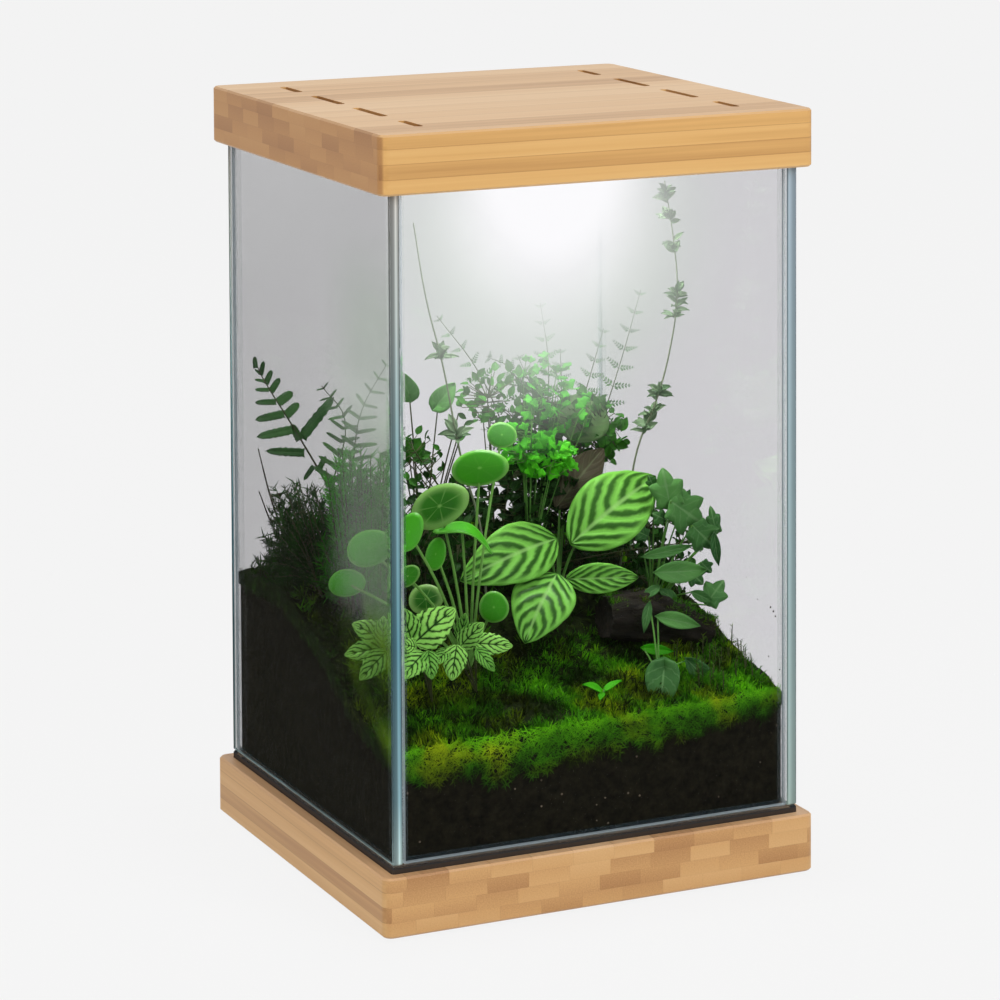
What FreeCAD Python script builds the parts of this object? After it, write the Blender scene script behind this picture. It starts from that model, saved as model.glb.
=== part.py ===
import FreeCAD, Part
import math
import os

# Planted terrarium: a glass tank stands in a laminated bamboo tray, and a slotted bamboo
# lid with a lamp in it rests on the glass. The tank holds soil, moss, driftwood and plants.
# Lengths are millimetres, +Z is up, and the origin is the middle of the ground under the feet.
# A name that ends in share or shares is a share of the size that it follows.

Vector = FreeCAD.Vector
UP = Vector(0, 0, 1)

# Boards
RIM_WIDTH = 5.5
BASE_THICKNESS = 26.5
LID_THICKNESS = 26.5
BOARD_CORNER_RADIUS = 4.5
BOARD_EASE = 0.9
PAD_HEIGHT = 2.0
PAD_DIAMETER = 20.0
PAD_INSET = 18.0
RECESS_DEPTH = 2.0
LID_POCKET_DEPTH = 5.5
GLASS_CLEARANCE = 0.5
POCKET_CORNER_RADIUS = 2.0

# Slots through the lid, in two rows
SLOT_WIDTH = 4.0
SLOT_ROUNDING_SHARE = 0.98
SLOT_EDGE_DISTANCE = 28.0
SLOT_CENTRE_GAP = 16.0
LONG_SLOT_LENGTH = 35.0
SLOT_GAP = 18.5
SHORT_SLOT_LENGTH = 22.0

# Glass tank
GLASS_SIDE = 200.0
GLASS_THICKNESS = 5.0
WALL_HEIGHT = 300.0
BOND_THICKNESS = 0.5
ARRIS = 0.6
BEAD = 3.0

# Lamp in the lid
LAMP_POCKET_SIDE = 92.0
LAMP_POCKET_DEPTH = 14.0
TRAY_CLEARANCE = 0.5
TRAY_WALL = 1.5
TRAY_CORNER_RADIUS = 3.0
FLANGE_WIDTH = 9.0
FLANGE_THICKNESS = 2.0
LIP_WIDTH = 1.5
LIP_THICKNESS = 0.8
LAMP_BOARD_THICKNESS = 1.6
LAMP_CLEARANCE = 0.3
DIFFUSER_THICKNESS = 2.0
CHIP_SIDE = 3.5
CHIP_THICKNESS = 0.7
CHIP_ROW_COUNT = 4
CHIP_PITCH = 19.0

# Lamp feed: terminal block, lead and inlet
TERMINAL_LENGTH = 8.0
TERMINAL_WIDTH = 6.0
TERMINAL_HEIGHT = 5.0
TERMINAL_EDGE_GAP = 5.0
LEAD_DIAMETER = 3.0
LEAD_CHANNEL_DIAMETER = 5.0
INLET_DIAMETER = 11.8
INLET_LENGTH = 20.0
INLET_BORE_CLEARANCE = 0.1
INLET_RIM_DIAMETER = 15.4
INLET_RIM_THICKNESS = 1.8
INLET_SEAT_DEPTH = 2.0
INLET_SEAT_CLEARANCE = 0.3
SOCKET_DIAMETER = 5.5
SOCKET_DEPTH = 9.5
SOCKET_PIN_DIAMETER = 2.0

# Planting
GROUND_CLEARANCE = 0.3
MOSS_THICKNESS = 7.0
ROOT_DIAMETER = 7.0
ROOT_DEPTH = 14.0
CROWN_HEIGHT = 2.0
LEAF_THICKNESS = 0.7
STEM_DIAMETER = 1.4
FINE_STEM_DIAMETER = 1.0
TWIG_DIAMETER = 1.8
TWIG_FORK_LENGTH = 9.0
LOG_DIAMETER = 26.0
SPRIG_DIAMETER = 1.6
STEM_SIDE_COUNT = 4
ROOT_SIDE_COUNT = 6
COIN_SIDE_COUNT = 10
OVERRUN = 1.0
MATCH_TOLERANCE = 0.001

# Levels and half widths that follow from the sizes above
BOARD_SIDE = GLASS_SIDE + 2 * (GLASS_CLEARANCE + RIM_WIDTH)
BASE_BOTTOM = PAD_HEIGHT
BASE_TOP = BASE_BOTTOM + BASE_THICKNESS
PANE_SEAT = BASE_TOP - RECESS_DEPTH
FLOOR = PANE_SEAT + GLASS_THICKNESS
WALL_FOOT = FLOOR + BOND_THICKNESS
WALL_TOP = WALL_FOOT + WALL_HEIGHT
LID_BOTTOM = WALL_TOP - LID_POCKET_DEPTH
LID_TOP = LID_BOTTOM + LID_THICKNESS
OUTER = GLASS_SIDE / 2
INNER = OUTER - GLASS_THICKNESS
BED = INNER - GROUND_CLEARANCE
TRAY_SIDE = LAMP_POCKET_SIDE - 2 * TRAY_CLEARANCE
TRAY_BORE = TRAY_SIDE - 2 * TRAY_WALL
FLANGE_SIDE = TRAY_SIDE + 2 * FLANGE_WIDTH
TRAY_TOP = WALL_TOP + LAMP_POCKET_DEPTH
BOARD_LEVEL = TRAY_TOP - TRAY_WALL - LAMP_BOARD_THICKNESS
FLANGE_BOTTOM = WALL_TOP - FLANGE_THICKNESS
LEAD_LEVEL = BOARD_LEVEL - TERMINAL_HEIGHT / 2
TERMINAL_BACK = TRAY_BORE / 2 - TERMINAL_EDGE_GAP
BOARD_EDGE = BOARD_SIDE / 2
INLET_FACE = BOARD_EDGE - INLET_SEAT_DEPTH + INLET_RIM_THICKNESS
INLET_TAIL = INLET_FACE - INLET_LENGTH

# Ground: rows of soil levels from left to right, each from front to back. Places are shares
# of the half width of the bed and levels are shares of the wall height above the floor.
GROUND_X_SHARES = (-1.0, -0.42, 0.10, 0.63, 1.0)
GROUND_Y_SHARES = (-1.0, -0.58, -0.10, 0.42, 1.0)
GROUND_LEVEL_SHARES = (
    (0.138, 0.162, 0.238, 0.282, 0.275),
    (0.145, 0.182, 0.262, 0.322, 0.315),
    (0.148, 0.188, 0.282, 0.342, 0.328),
    (0.152, 0.188, 0.248, 0.302, 0.295),
    (0.158, 0.188, 0.228, 0.262, 0.268),
)

# Corners of a square, in turn
CORNERS = ((-1, -1), (1, -1), (1, 1), (-1, 1))

# Directions in which leaves face
FRONT = Vector(-0.45, -0.85, 0.3)
FRONT_UP = Vector(-0.3, -0.6, 0.75)
SKYWARD = Vector(-0.15, -0.3, 0.95)
MAIDENHAIR_REACH = Vector(0.6, -0.4, 0.6)

# Places inside the tank are (x, y, z): shares of the bed's half width, twice, and of the
# wall height above the floor. A leaf is (base, tip, width as a share of its length).
PRAYER_ROOT_SHARES = (0.20, -0.14)
PRAYER_LEAF_SHARES = (
    ((0.25, -0.24, 0.390), (0.71, -0.16, 0.474), 0.62),
    ((0.18, -0.19, 0.396), (-0.37, -0.32, 0.348), 0.50),
    ((0.16, -0.33, 0.345), (-0.20, -0.54, 0.276), 0.62),
    ((0.20, -0.30, 0.336), (0.50, -0.42, 0.350), 0.48),
    ((0.34, -0.06, 0.425), (0.55, 0.04, 0.530), 0.50),
    ((0.50, 0.10, 0.520), (0.62, 0.22, 0.620), 0.80),
)
PRAYER_ARCH_ANGLE = 16.0
COIN_DISH_SHARE = 0.12
COIN_CROWN_SHARE = 0.6

COIN_ROOT_SHARES = (-0.42, -0.47)
COIN_LEAF_SHARES = (
    ((-0.29, -0.37, 0.532), 0.130),
    ((-0.57, -0.53, 0.490), 0.130),
    ((-0.12, -0.24, 0.568), 0.080),
    ((-0.56, -0.51, 0.418), 0.075),
    ((-0.31, -0.58, 0.330), 0.078),
    ((-0.42, -0.62, 0.430), 0.095),
    ((-0.87, -0.10, 0.352), 0.090),
    ((-0.80, -0.58, 0.470), 0.100),
)

NERVE_ROOT_SHARES = ((-0.67, -0.60), (-0.45, -0.62), (-0.84, -0.30))
NERVE_LEAF_SHARES = (
    (0, (-0.68, -0.62, 0.262), (-0.76, -0.64, 0.340)),
    (0, (-0.65, -0.62, 0.262), (-0.58, -0.66, 0.342)),
    (0, (-0.70, -0.62, 0.252), (-0.88, -0.66, 0.300)),
    (0, (-0.70, -0.64, 0.242), (-0.84, -0.72, 0.225)),
    (0, (-0.66, -0.66, 0.240), (-0.64, -0.80, 0.222)),
    (0, (-0.64, -0.64, 0.252), (-0.50, -0.72, 0.280)),
    (1, (-0.46, -0.64, 0.262), (-0.52, -0.66, 0.325)),
    (1, (-0.43, -0.63, 0.262), (-0.34, -0.64, 0.318)),
    (1, (-0.43, -0.65, 0.255), (-0.26, -0.70, 0.272)),
    (1, (-0.44, -0.66, 0.245), (-0.36, -0.78, 0.228)),
    (1, (-0.47, -0.66, 0.245), (-0.53, -0.80, 0.222)),
    (2, (-0.84, -0.32, 0.278), (-0.94, -0.26, 0.305)),
    (2, (-0.84, -0.32, 0.274), (-0.95, -0.36, 0.262)),
    (2, (-0.82, -0.32, 0.278), (-0.80, -0.38, 0.330)),
    (2, (-0.80, -0.34, 0.272), (-0.72, -0.44, 0.290)),
)
NERVE_WIDTH_SHARE = 0.72

MAIDENHAIR_ROOT_SHARES = (0.12, 0.02)
MAIDENHAIR_TIP_SHARES = (
    (0.24, -0.06, 0.560),
    (0.36, -0.10, 0.532),
    (0.12, -0.14, 0.524),
    (0.22, -0.17, 0.498),
    (0.02, -0.05, 0.545),
    (0.40, -0.02, 0.566),
)
MAIDENHAIR_LEAF_LENGTH = 13.0
MAIDENHAIR_TURN_ANGLES = (-70, 0, 70)

FERN_ROOT_SHARES = (-0.62, 0.66)
FERN_FROND_SHARES = (
    ((-0.66, 0.76, 0.42), (-0.78, 0.84, 0.54), (-0.95, 0.90, 0.645)),
    ((-0.62, 0.62, 0.45), (-0.54, 0.52, 0.60), (-0.44, 0.42, 0.700)),
    ((-0.74, 0.62, 0.40), (-0.84, 0.58, 0.47), (-0.93, 0.54, 0.500)),
)
FERN_LEAFLET_LENGTH = 17.0
FERN_PAIR_COUNT = 6

FEATHER_ROOT_SHARES = (0.42, 0.40)
FEATHER_FROND_SHARES = (
    ((0.20, 0.36, 0.48), (0.00, 0.34, 0.62), (-0.24, 0.32, 0.720)),
    ((0.30, 0.36, 0.48), (0.18, 0.34, 0.62), (0.02, 0.30, 0.650)),
    ((0.40, 0.42, 0.50), (0.42, 0.43, 0.62), (0.38, 0.44, 0.720)),
    ((0.52, 0.36, 0.50), (0.62, 0.32, 0.62), (0.66, 0.28, 0.680)),
    ((0.60, 0.32, 0.48), (0.74, 0.26, 0.62), (0.84, 0.22, 0.740)),
)
FEATHER_LEAFLET_LENGTH = 10.0
FEATHER_PAIR_COUNT = 6

IVY_ROOT_SHARES = (0.68, -0.22)
IVY_LEAF_SHARES = (
    ((0.64, -0.38, 0.450), (0.74, -0.40, 0.505), 0.90),
    ((0.72, -0.38, 0.450), (0.82, -0.44, 0.425), 0.90),
    ((0.82, -0.42, 0.448), (0.93, -0.44, 0.452), 0.90),
    ((0.84, -0.44, 0.420), (0.92, -0.48, 0.375), 0.90),
    ((0.56, -0.47, 0.368), (0.77, -0.52, 0.386), 0.90),
    ((0.57, -0.54, 0.334), (0.79, -0.58, 0.330), 0.90),
    ((0.86, -0.48, 0.336), (0.93, -0.54, 0.288), 0.90),
)

ARROW_ROOT_SHARES = (0.46, -0.74)
ARROW_LEAF_SHARES = (
    ((0.42, -0.80, 0.250), (0.44, -0.90, 0.190), 0.80),
    ((0.48, -0.70, 0.285), (0.70, -0.70, 0.286), 0.40),
    ((0.50, -0.78, 0.248), (0.74, -0.80, 0.216), 0.45),
)

SEEDLING_ROOT_SHARES = (0.16, -0.76)
SEEDLING_LEAF_SHARES = (
    ((0.15, -0.77, 0.205), (0.02, -0.80, 0.214), 0.40),
    ((0.17, -0.77, 0.205), (0.30, -0.79, 0.212), 0.40),
    ((0.16, -0.78, 0.206), (0.14, -0.90, 0.200), 0.40),
)

VINE_ROOT_SHARES = (0.62, 0.04)
VINE_ROUTE_SHARES = (
    (0.66, 0.02, 0.39), (0.70, -0.02, 0.50), (0.77, -0.10, 0.583), (0.82, -0.15, 0.665),
    (0.82, -0.23, 0.76), (0.80, -0.23, 0.84), (0.75, -0.23, 0.935),
)
VINE_LEAF_STATION_SHARES = (0.36, 0.62, 0.81, 0.91, 0.97)
VINE_LEAF_LENGTH = 12.0

REED_ROOT_SHARES = (-0.20, -0.18)
REED_ROUTE_SHARES = (
    (-0.22, -0.18, 0.40), (-0.34, -0.20, 0.53), (-0.46, -0.26, 0.68),
    (-0.58, -0.34, 0.79), (-0.65, -0.36, 0.905),
)
REED_LEAF_STATION_SHARES = (0.42, 0.48, 0.66, 0.70)
REED_LEAF_LENGTH = 14.0

CREEPER_ROOT_SHARES = (-0.40, 0.14)
CREEPER_LEAF_SHARES = (
    ((-0.44, 0.12, 0.590), (-0.58, 0.10, 0.640), 0.70),
    ((-0.32, 0.12, 0.590), (-0.24, 0.12, 0.650), 0.60),
    ((-0.20, 0.16, 0.580), (-0.08, 0.16, 0.635), 0.75),
    ((-0.46, 0.06, 0.530), (-0.60, 0.02, 0.560), 0.80),
    ((-0.30, 0.06, 0.500), (-0.18, 0.04, 0.545), 0.80),
)

BUSH_ROOT_SHARES = (-0.06, 0.02)
BUSH_LEAF_SHARES = (
    ((-0.30, -0.02, 0.400), (-0.42, -0.06, 0.440), 0.80),
    ((-0.26, -0.04, 0.440), (-0.30, -0.06, 0.500), 0.80),
    ((-0.16, -0.06, 0.430), (-0.08, -0.08, 0.490), 0.80),
    ((-0.04, -0.02, 0.440), (0.04, -0.05, 0.495), 0.80),
    ((-0.14, -0.08, 0.380), (-0.02, -0.12, 0.420), 0.80),
    ((-0.24, -0.08, 0.360), (-0.34, -0.12, 0.380), 0.80),
)

CLUBMOSS_ROOT_SHARES = (-0.66, 0.16)
CLUBMOSS_TIP_SHARES = (
    (-0.64, 0.22, 0.535), (-0.74, 0.32, 0.490), (-0.58, 0.12, 0.550), (-0.86, 0.24, 0.430),
    (-0.80, 0.06, 0.400), (-0.72, -0.04, 0.420), (-0.90, 0.12, 0.360), (-0.62, 0.00, 0.470),
)
CLUBMOSS_WIDTH = 11.0
CLUBMOSS_FOOT_SHARE = 0.35
CLUBMOSS_GIRTH_SHARES = (0.30, 0.90, 0.15)

TWIG_ROOT_SHARES = (-0.84, 0.72)
TWIG_TIP_SHARES = (
    (-0.95, 0.84, 0.500), (-0.94, 0.86, 0.430), (-0.82, 0.72, 0.440), (-0.90, 0.74, 0.390),
)

TWIG_FORK_SHARE = 0.6
TWIG_TAPER_SHARE = 0.5

LOG_PATH_SHARES = ((0.32, -0.42, 0.274), (0.54, -0.42, 0.270), (0.74, -0.44, 0.250), (0.88, -0.46, 0.232))
LOG_GIRTH_SHARES = (0.80, 1.0, 0.86, 0.55)
LOG_BARK_SHARES = (1.0, 0.88, 0.98, 0.84, 0.96, 0.90, 1.0, 0.86)

SPRIG_PLACE_SHARES = (
    (0.96, -0.62), (0.94, -0.74), (0.88, -0.66), (0.97, -0.52), (0.82, -0.70), (0.92, -0.84),
)
SPRIG_HEIGHT = 11.0
SPRIG_FOOT_DEPTH = 2.0
SPRIG_TAPER_SHARE = 0.4


def block(x0, x1, y0, y1, z0, z1):
    """A box between two corners."""
    return Part.makeBox(x1 - x0, y1 - y0, z1 - z0, Vector(x0, y0, z0))


def square_block(side, z0, z1):
    """A box on a centred square."""
    return block(-side / 2, side / 2, -side / 2, side / 2, z0, z1)


def upright(radius, z0, z1, x=0, y=0):
    """A cylinder that stands at (x, y)."""
    return Part.makeCylinder(radius, z1 - z0, Vector(x, y, z0))


def along_y(radius, y0, y1, z):
    """A cylinder that lies along Y at a level, over the middle of the board."""
    return Part.makeCylinder(radius, y1 - y0, Vector(0, y0, z), Vector(0, 1, 0))


def polygon(points):
    """A closed wire through points."""
    return Part.makePolygon(list(points) + [points[0]])


def prism(points, direction):
    """A solid made by moving a polygon along a direction."""
    return Part.Face(polygon(points)).extrude(direction)


def join(shapes):
    """One solid made of shapes that meet."""
    shapes = list(shapes)
    if len(shapes) == 1:
        return shapes[0]
    return shapes[0].multiFuse(shapes[1:])


def upright_edges(shape):
    """Edges that run straight up."""
    return [edge for edge in shape.Edges if edge.Length - edge.BoundBox.ZLength < MATCH_TOLERANCE]


def rim_edges(shape, level):
    """Edges that lie flat at a level."""
    return [edge for edge in shape.Edges
            if max(abs(edge.BoundBox.ZMin - level), abs(edge.BoundBox.ZMax - level)) < MATCH_TOLERANCE]


def eased_board(bottom, top):
    """A square board with rounded corners and eased rims."""
    board = square_block(BOARD_SIDE, bottom, top)
    board = board.makeFillet(BOARD_CORNER_RADIUS, upright_edges(board))
    return board.makeChamfer(BOARD_EASE, rim_edges(board, bottom) + rim_edges(board, top))


def pocket(bottom, top):
    """The hollow in a board that the glass fits into."""
    hollow = square_block(GLASS_SIDE + 2 * GLASS_CLEARANCE, bottom, top)
    return hollow.makeFillet(POCKET_CORNER_RADIUS, upright_edges(hollow))


def base_tray():
    """Bamboo board with a shallow recess for the tank."""
    return eased_board(BASE_BOTTOM, BASE_TOP).cut(pocket(PANE_SEAT, BASE_TOP + OVERRUN))


def foot_pads():
    """Four round pads under the base."""
    reach = BOARD_EDGE - PAD_INSET
    pads = [upright(PAD_DIAMETER / 2, 0, PAD_HEIGHT, x * reach, y * reach) for x, y in CORNERS]
    return Part.makeCompound(pads)


def arrissed(pane):
    """A pane with its sharp edges taken off."""
    return pane.makeChamfer(ARRIS, pane.Edges)


def bottom_pane():
    """Square sheet under the four walls."""
    return arrissed(square_block(GLASS_SIDE, PANE_SEAT, FLOOR))


def side_wall(side):
    """Full-depth wall at the left (-1) or the right (+1)."""
    faces = sorted((side * INNER, side * OUTER))
    return arrissed(block(faces[0], faces[1], -OUTER, OUTER, WALL_FOOT, WALL_TOP))


def front_wall(side):
    """Wall between the side walls, at the front (-1) or the back (+1)."""
    faces = sorted((side * INNER, side * OUTER))
    reach = INNER - BOND_THICKNESS
    return arrissed(block(-reach, reach, faces[0], faces[1], WALL_FOOT, WALL_TOP))


def floor_seam():
    """Clear sealant under the walls, with a bead round the inside."""
    joint = square_block(GLASS_SIDE - 2 * ARRIS, FLOOR, WALL_FOOT).cut(
        square_block(2 * INNER, FLOOR - OVERRUN, WALL_FOOT + OVERRUN))
    bead = square_block(2 * INNER, FLOOR, FLOOR + BEAD)
    low = polygon([Vector(x * (INNER - BEAD), y * (INNER - BEAD), FLOOR) for x, y in CORNERS])
    high = polygon([Vector(x * INNER, y * INNER, FLOOR + BEAD) for x, y in CORNERS])
    return joint.fuse(bead.cut(Part.makeLoft([low, high], True, True))).removeSplitter()


def corner_seam(x_side, y_side):
    """Clear sealant in one upright corner, with a bead on the inside."""
    outline = ((INNER, OUTER - ARRIS), (INNER, INNER - BEAD), (INNER - BOND_THICKNESS - BEAD, INNER),
               (INNER - BOND_THICKNESS, INNER), (INNER - BOND_THICKNESS, OUTER - ARRIS))
    points = [Vector(x_side * x, y_side * y, WALL_FOOT) for x, y in outline]
    return prism(points, Vector(0, 0, WALL_HEIGHT - ARRIS))


def corner_seams(seam_below):
    """The four upright seams, above the seam on the floor."""
    return Part.makeCompound([corner_seam(x, y).cut(seam_below) for x, y in CORNERS])


def place(shares):
    """A point inside the tank from its shares."""
    return Vector(shares[0] * BED, shares[1] * BED, FLOOR + shares[2] * WALL_HEIGHT)


def bracket(shares, share):
    """The step of a rising row that holds a share, and how far along the step it is."""
    step = 0
    while step < len(shares) - 2 and share > shares[step + 1]:
        step += 1
    return step, (share - shares[step]) / (shares[step + 1] - shares[step])


def ground_share(x_share, y_share):
    """The soil's level at a place, as a share of the wall height, on the facet that lies there."""
    column, across = bracket(GROUND_X_SHARES, x_share)
    row, along = bracket(GROUND_Y_SHARES, y_share)
    near, far = GROUND_LEVEL_SHARES[column][row:row + 2]
    next_near, next_far = GROUND_LEVEL_SHARES[column + 1][row:row + 2]
    if across >= along:
        return near + across * (next_near - near) + along * (next_far - next_near)
    return near + along * (far - near) + across * (next_far - far)


def on_moss(x_share, y_share, lift=0):
    """A point above the moss."""
    return place((x_share, y_share, ground_share(x_share, y_share))) + UP * (MOSS_THICKNESS + lift)


def ground_grid(lift):
    """Points of the ground's surface, raised by a lift: columns from left to right."""
    return [[place((x, y, level)) + UP * lift for y, level in zip(GROUND_Y_SHARES, levels)]
            for x, levels in zip(GROUND_X_SHARES, GROUND_LEVEL_SHARES)]


def facet(*points):
    """A flat face through points."""
    return Part.Face(polygon(points))


def closed_solid(faces):
    """A solid inside faces that close."""
    solid = Part.makeSolid(Part.makeShell(faces))
    if solid.Volume < 0:
        solid.reverse()
    return solid


def ground_facets(grid):
    """Two flat facets on each cell of a grid."""
    faces = []
    for left, right in zip(grid, grid[1:]):
        for row in range(len(left) - 1):
            faces.append(facet(left[row], right[row], right[row + 1]))
            faces.append(facet(left[row], right[row + 1], left[row + 1]))
    return faces


def ground_rims(grid):
    """The four borders of a grid, each as a line of points."""
    return [grid[0], [column[-1] for column in grid], grid[-1], [column[0] for column in grid]]


def ground_layer(low, high):
    """The solid between two ground surfaces, where low may be one flat level."""
    flat = not isinstance(low, list)
    under = [[Vector(point.x, point.y, low) for point in column] for column in high] if flat else low
    faces = ground_facets(high)
    if flat:
        faces.append(facet(under[0][0], under[-1][0], under[-1][-1], under[0][-1]))
    else:
        faces += ground_facets(under)
    for lower, upper in zip(ground_rims(under), ground_rims(high)):
        edge = [lower[0], lower[-1]] if flat else lower
        faces.append(facet(*(edge + upper[::-1])))
    return closed_solid(faces)


def faceted(rings):
    """A solid through rings of points, with flat facets between them."""
    faces = [facet(*rings[0]), facet(*rings[-1])]
    for ring, after in zip(rings, rings[1:]):
        for side, point in enumerate(ring):
            beside = (side + 1) % len(ring)
            faces.append(facet(point, ring[beside], after[beside]))
            faces.append(facet(point, after[beside], after[side]))
    return closed_solid(faces)


def ring_at(centre, ahead, radii):
    """Points round a centre, square to a direction, one for each radius."""
    spin = FreeCAD.Rotation(UP, ahead)
    turns = [2 * math.pi * side / len(radii) for side in range(len(radii))]
    return [centre + spin.multVec(Vector(math.cos(turn), math.sin(turn), 0)) * radius
            for turn, radius in zip(turns, radii)]


def tube(points, diameter, tip_share=1.0):
    """A thin stem through points, which may taper to a share of its diameter."""
    last = len(points) - 1
    rings = []
    for index, point in enumerate(points):
        ahead = points[min(index + 1, last)] - points[max(index - 1, 0)]
        radius = diameter / 2 * (1 + (tip_share - 1) * index / last)
        rings.append(ring_at(point, ahead, [radius] * STEM_SIDE_COUNT))
    return faceted(rings)


def leaf_placement(base, tip, facing):
    """Turns a leaf that lies along +X and faces +Z so that it runs from base to tip."""
    spin = FreeCAD.Rotation(tip - base, Vector(), facing, "XZY")
    return FreeCAD.Placement(base, spin)


def flat_leaf(base, tip, width, facing, outline_shares):
    """A thin flat leaf whose half outline is given as shares of its length and half width."""
    length = (tip - base).Length
    half = [(x * length, y * width / 2) for x, y in outline_shares]
    points = [Vector(x, y, 0) for x, y in half]
    points += [Vector(x, -y, 0) for x, y in reversed(half) if y > 0]
    leaf = prism(points, Vector(0, 0, LEAF_THICKNESS))
    leaf.Placement = leaf_placement(base, tip, facing)
    return leaf


FOLD_SHARE = 0.35
LEAF_STEP_COUNT = 6
FULLNESS_SHARE = 0.8
STALK_OVERLAP_SHARE = 0.12
STEM_BOW_SHARE = 0.08
LEAFLET_LEAN_SHARE = 0.55
LEAFLET_WIDTH_SHARE = 0.12
LEAFLET_BELLY_SHARE = 0.55
FIRST_PAIR_SHARE = 0.26
LAST_PAIR_SHARE = 0.96
FROND_TAPER_SHARE = 0.75
STEM_TAPER_SHARE = 0.6
WHORL_REACHES = ((-0.3, 0.5), (-0.3, 0.25))
WHORL_WIDTH_SHARE = 0.45
OVATE_SHARES = ((0.0, 0.0), (0.18, 0.8), (0.42, 1.0), (0.75, 0.62), (1.0, 0.0))
TREFOIL_SHARES = ((0.0, 0.0), (0.22, 1.0), (0.52, 0.38), (0.82, 0.5), (1.0, 0.0))
IVY_SHARES = ((0.0, 0.0), (-0.06, 0.45), (0.14, 1.0), (0.36, 0.62), (0.52, 0.86), (0.64, 0.38), (1.0, 0.0))


def folded_leaf(base, tip, width, facing):
    """A small leaf folded along its midrib."""
    length = (tip - base).Length
    halves = []
    for side in (-1, 1):
        half = [(x * length, y * width / 2) for x, y in OVATE_SHARES]
        points = [Vector(x, side * y, y * FOLD_SHARE) for x, y in half]
        halves.append(prism(points, Vector(0, 0, LEAF_THICKNESS)))
    leaf = join(halves)
    leaf.Placement = leaf_placement(base, tip, facing)
    return leaf


def leaf_outline(length, width):
    """Points round a broad leaf along +X, fullest before its middle."""
    half = []
    for step in range(LEAF_STEP_COUNT + 1):
        share = step / LEAF_STEP_COUNT
        half.append(Vector(share * length, math.sin(math.pi * share ** FULLNESS_SHARE) * width / 2, 0))
    return half + [Vector(point.x, -point.y, 0) for point in half[-2:0:-1]]


def arched_leaf(base, tip, width_share, facing, arch):
    """A broad leaf with a curved outline, arched from base to tip by an angle."""
    length = (tip - base).Length
    width = length * width_share
    swing = math.radians(arch)
    bend = length / (2 * math.sin(swing))
    rise = bend * (1 - math.cos(swing))
    outline = leaf_outline(length, width)
    solid = prism([point - UP * rise for point in outline], UP * 3 * rise)
    centre = Vector(length / 2, -width, -bend * math.cos(swing))
    outer = Part.makeCylinder(bend + LEAF_THICKNESS / 2, 2 * width, centre, Vector(0, 1, 0))
    inner = Part.makeCylinder(bend - LEAF_THICKNESS / 2, 2 * width, centre, Vector(0, 1, 0))
    leaf = solid.common(outer.cut(inner))
    leaf.Placement = leaf_placement(base, tip, facing)
    return leaf


def root_plug(x_share, y_share):
    """The root ball and crown of a plant, sunk through the moss into the soil."""
    top = on_moss(x_share, y_share, CROWN_HEIGHT)
    girth = [ROOT_DIAMETER / 2] * ROOT_SIDE_COUNT
    return prism(ring_at(top - UP * ROOT_DEPTH, UP, girth), UP * ROOT_DEPTH)


def crown(x_share, y_share):
    """The point inside the crown where stems start."""
    return on_moss(x_share, y_share, CROWN_HEIGHT / 2)


def bowed(start, end):
    """Points of a stem that leaves its start steeply and bends over to its end."""
    middle = start + (end - start) / 2 + UP * STEM_BOW_SHARE * (end - start).Length
    return [start, middle, end]


def prayer_plant():
    """Broad striped leaves on thin stalks."""
    root = crown(*PRAYER_ROOT_SHARES)
    pieces = [root_plug(*PRAYER_ROOT_SHARES)]
    for base_shares, tip_shares, width_share in PRAYER_LEAF_SHARES:
        base = place(base_shares)
        tip = place(tip_shares)
        pieces.append(tube(bowed(root, base), STEM_DIAMETER))
        pieces.append(arched_leaf(base, tip, width_share, FRONT_UP, PRAYER_ARCH_ANGLE))
    return join(pieces)


def coin_leaf(centre, radius, facing):
    """A round leaf held at its middle, with its rim turned down."""
    rise = radius * COIN_DISH_SHARE
    levels = ((1.0, -rise), (1.0, LEAF_THICKNESS - rise), (COIN_CROWN_SHARE, LEAF_THICKNESS))
    rings = [ring_at(Vector(0, 0, level), UP, [radius * share] * COIN_SIDE_COUNT) for share, level in levels]
    under = ring_at(Vector(), UP, [radius * COIN_CROWN_SHARE] * COIN_SIDE_COUNT)
    leaf = faceted([under] + rings)
    leaf.Placement = FreeCAD.Placement(centre, FreeCAD.Rotation(UP, facing))
    return leaf


def coin_plant():
    """Round leaves, each on a thin stalk that meets it in the middle."""
    root = crown(*COIN_ROOT_SHARES)
    pieces = [root_plug(*COIN_ROOT_SHARES)]
    for centre_shares, radius_share in COIN_LEAF_SHARES:
        centre = place(centre_shares)
        pieces.append(tube(bowed(root, centre + UP * LEAF_THICKNESS / 2), STEM_DIAMETER))
        pieces.append(coin_leaf(centre, radius_share * BED, FRONT_UP))
    return join(pieces)


def nerve_plant():
    """Low rosettes of veined leaves."""
    plants = []
    for number, root_shares in enumerate(NERVE_ROOT_SHARES):
        root = crown(*root_shares)
        pieces = [root_plug(*root_shares)]
        for owner, base_shares, tip_shares in NERVE_LEAF_SHARES:
            if owner == number:
                base = place(base_shares)
                tip = place(tip_shares)
                width = (tip - base).Length * NERVE_WIDTH_SHARE
                joint = base + (tip - base) * STALK_OVERLAP_SHARE + UP * LEAF_THICKNESS / 2
                pieces.append(tube([root, joint], STEM_DIAMETER))
                pieces.append(folded_leaf(base, tip, width, FRONT_UP))
        plants.append(join(pieces))
    return Part.makeCompound(plants)


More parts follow.
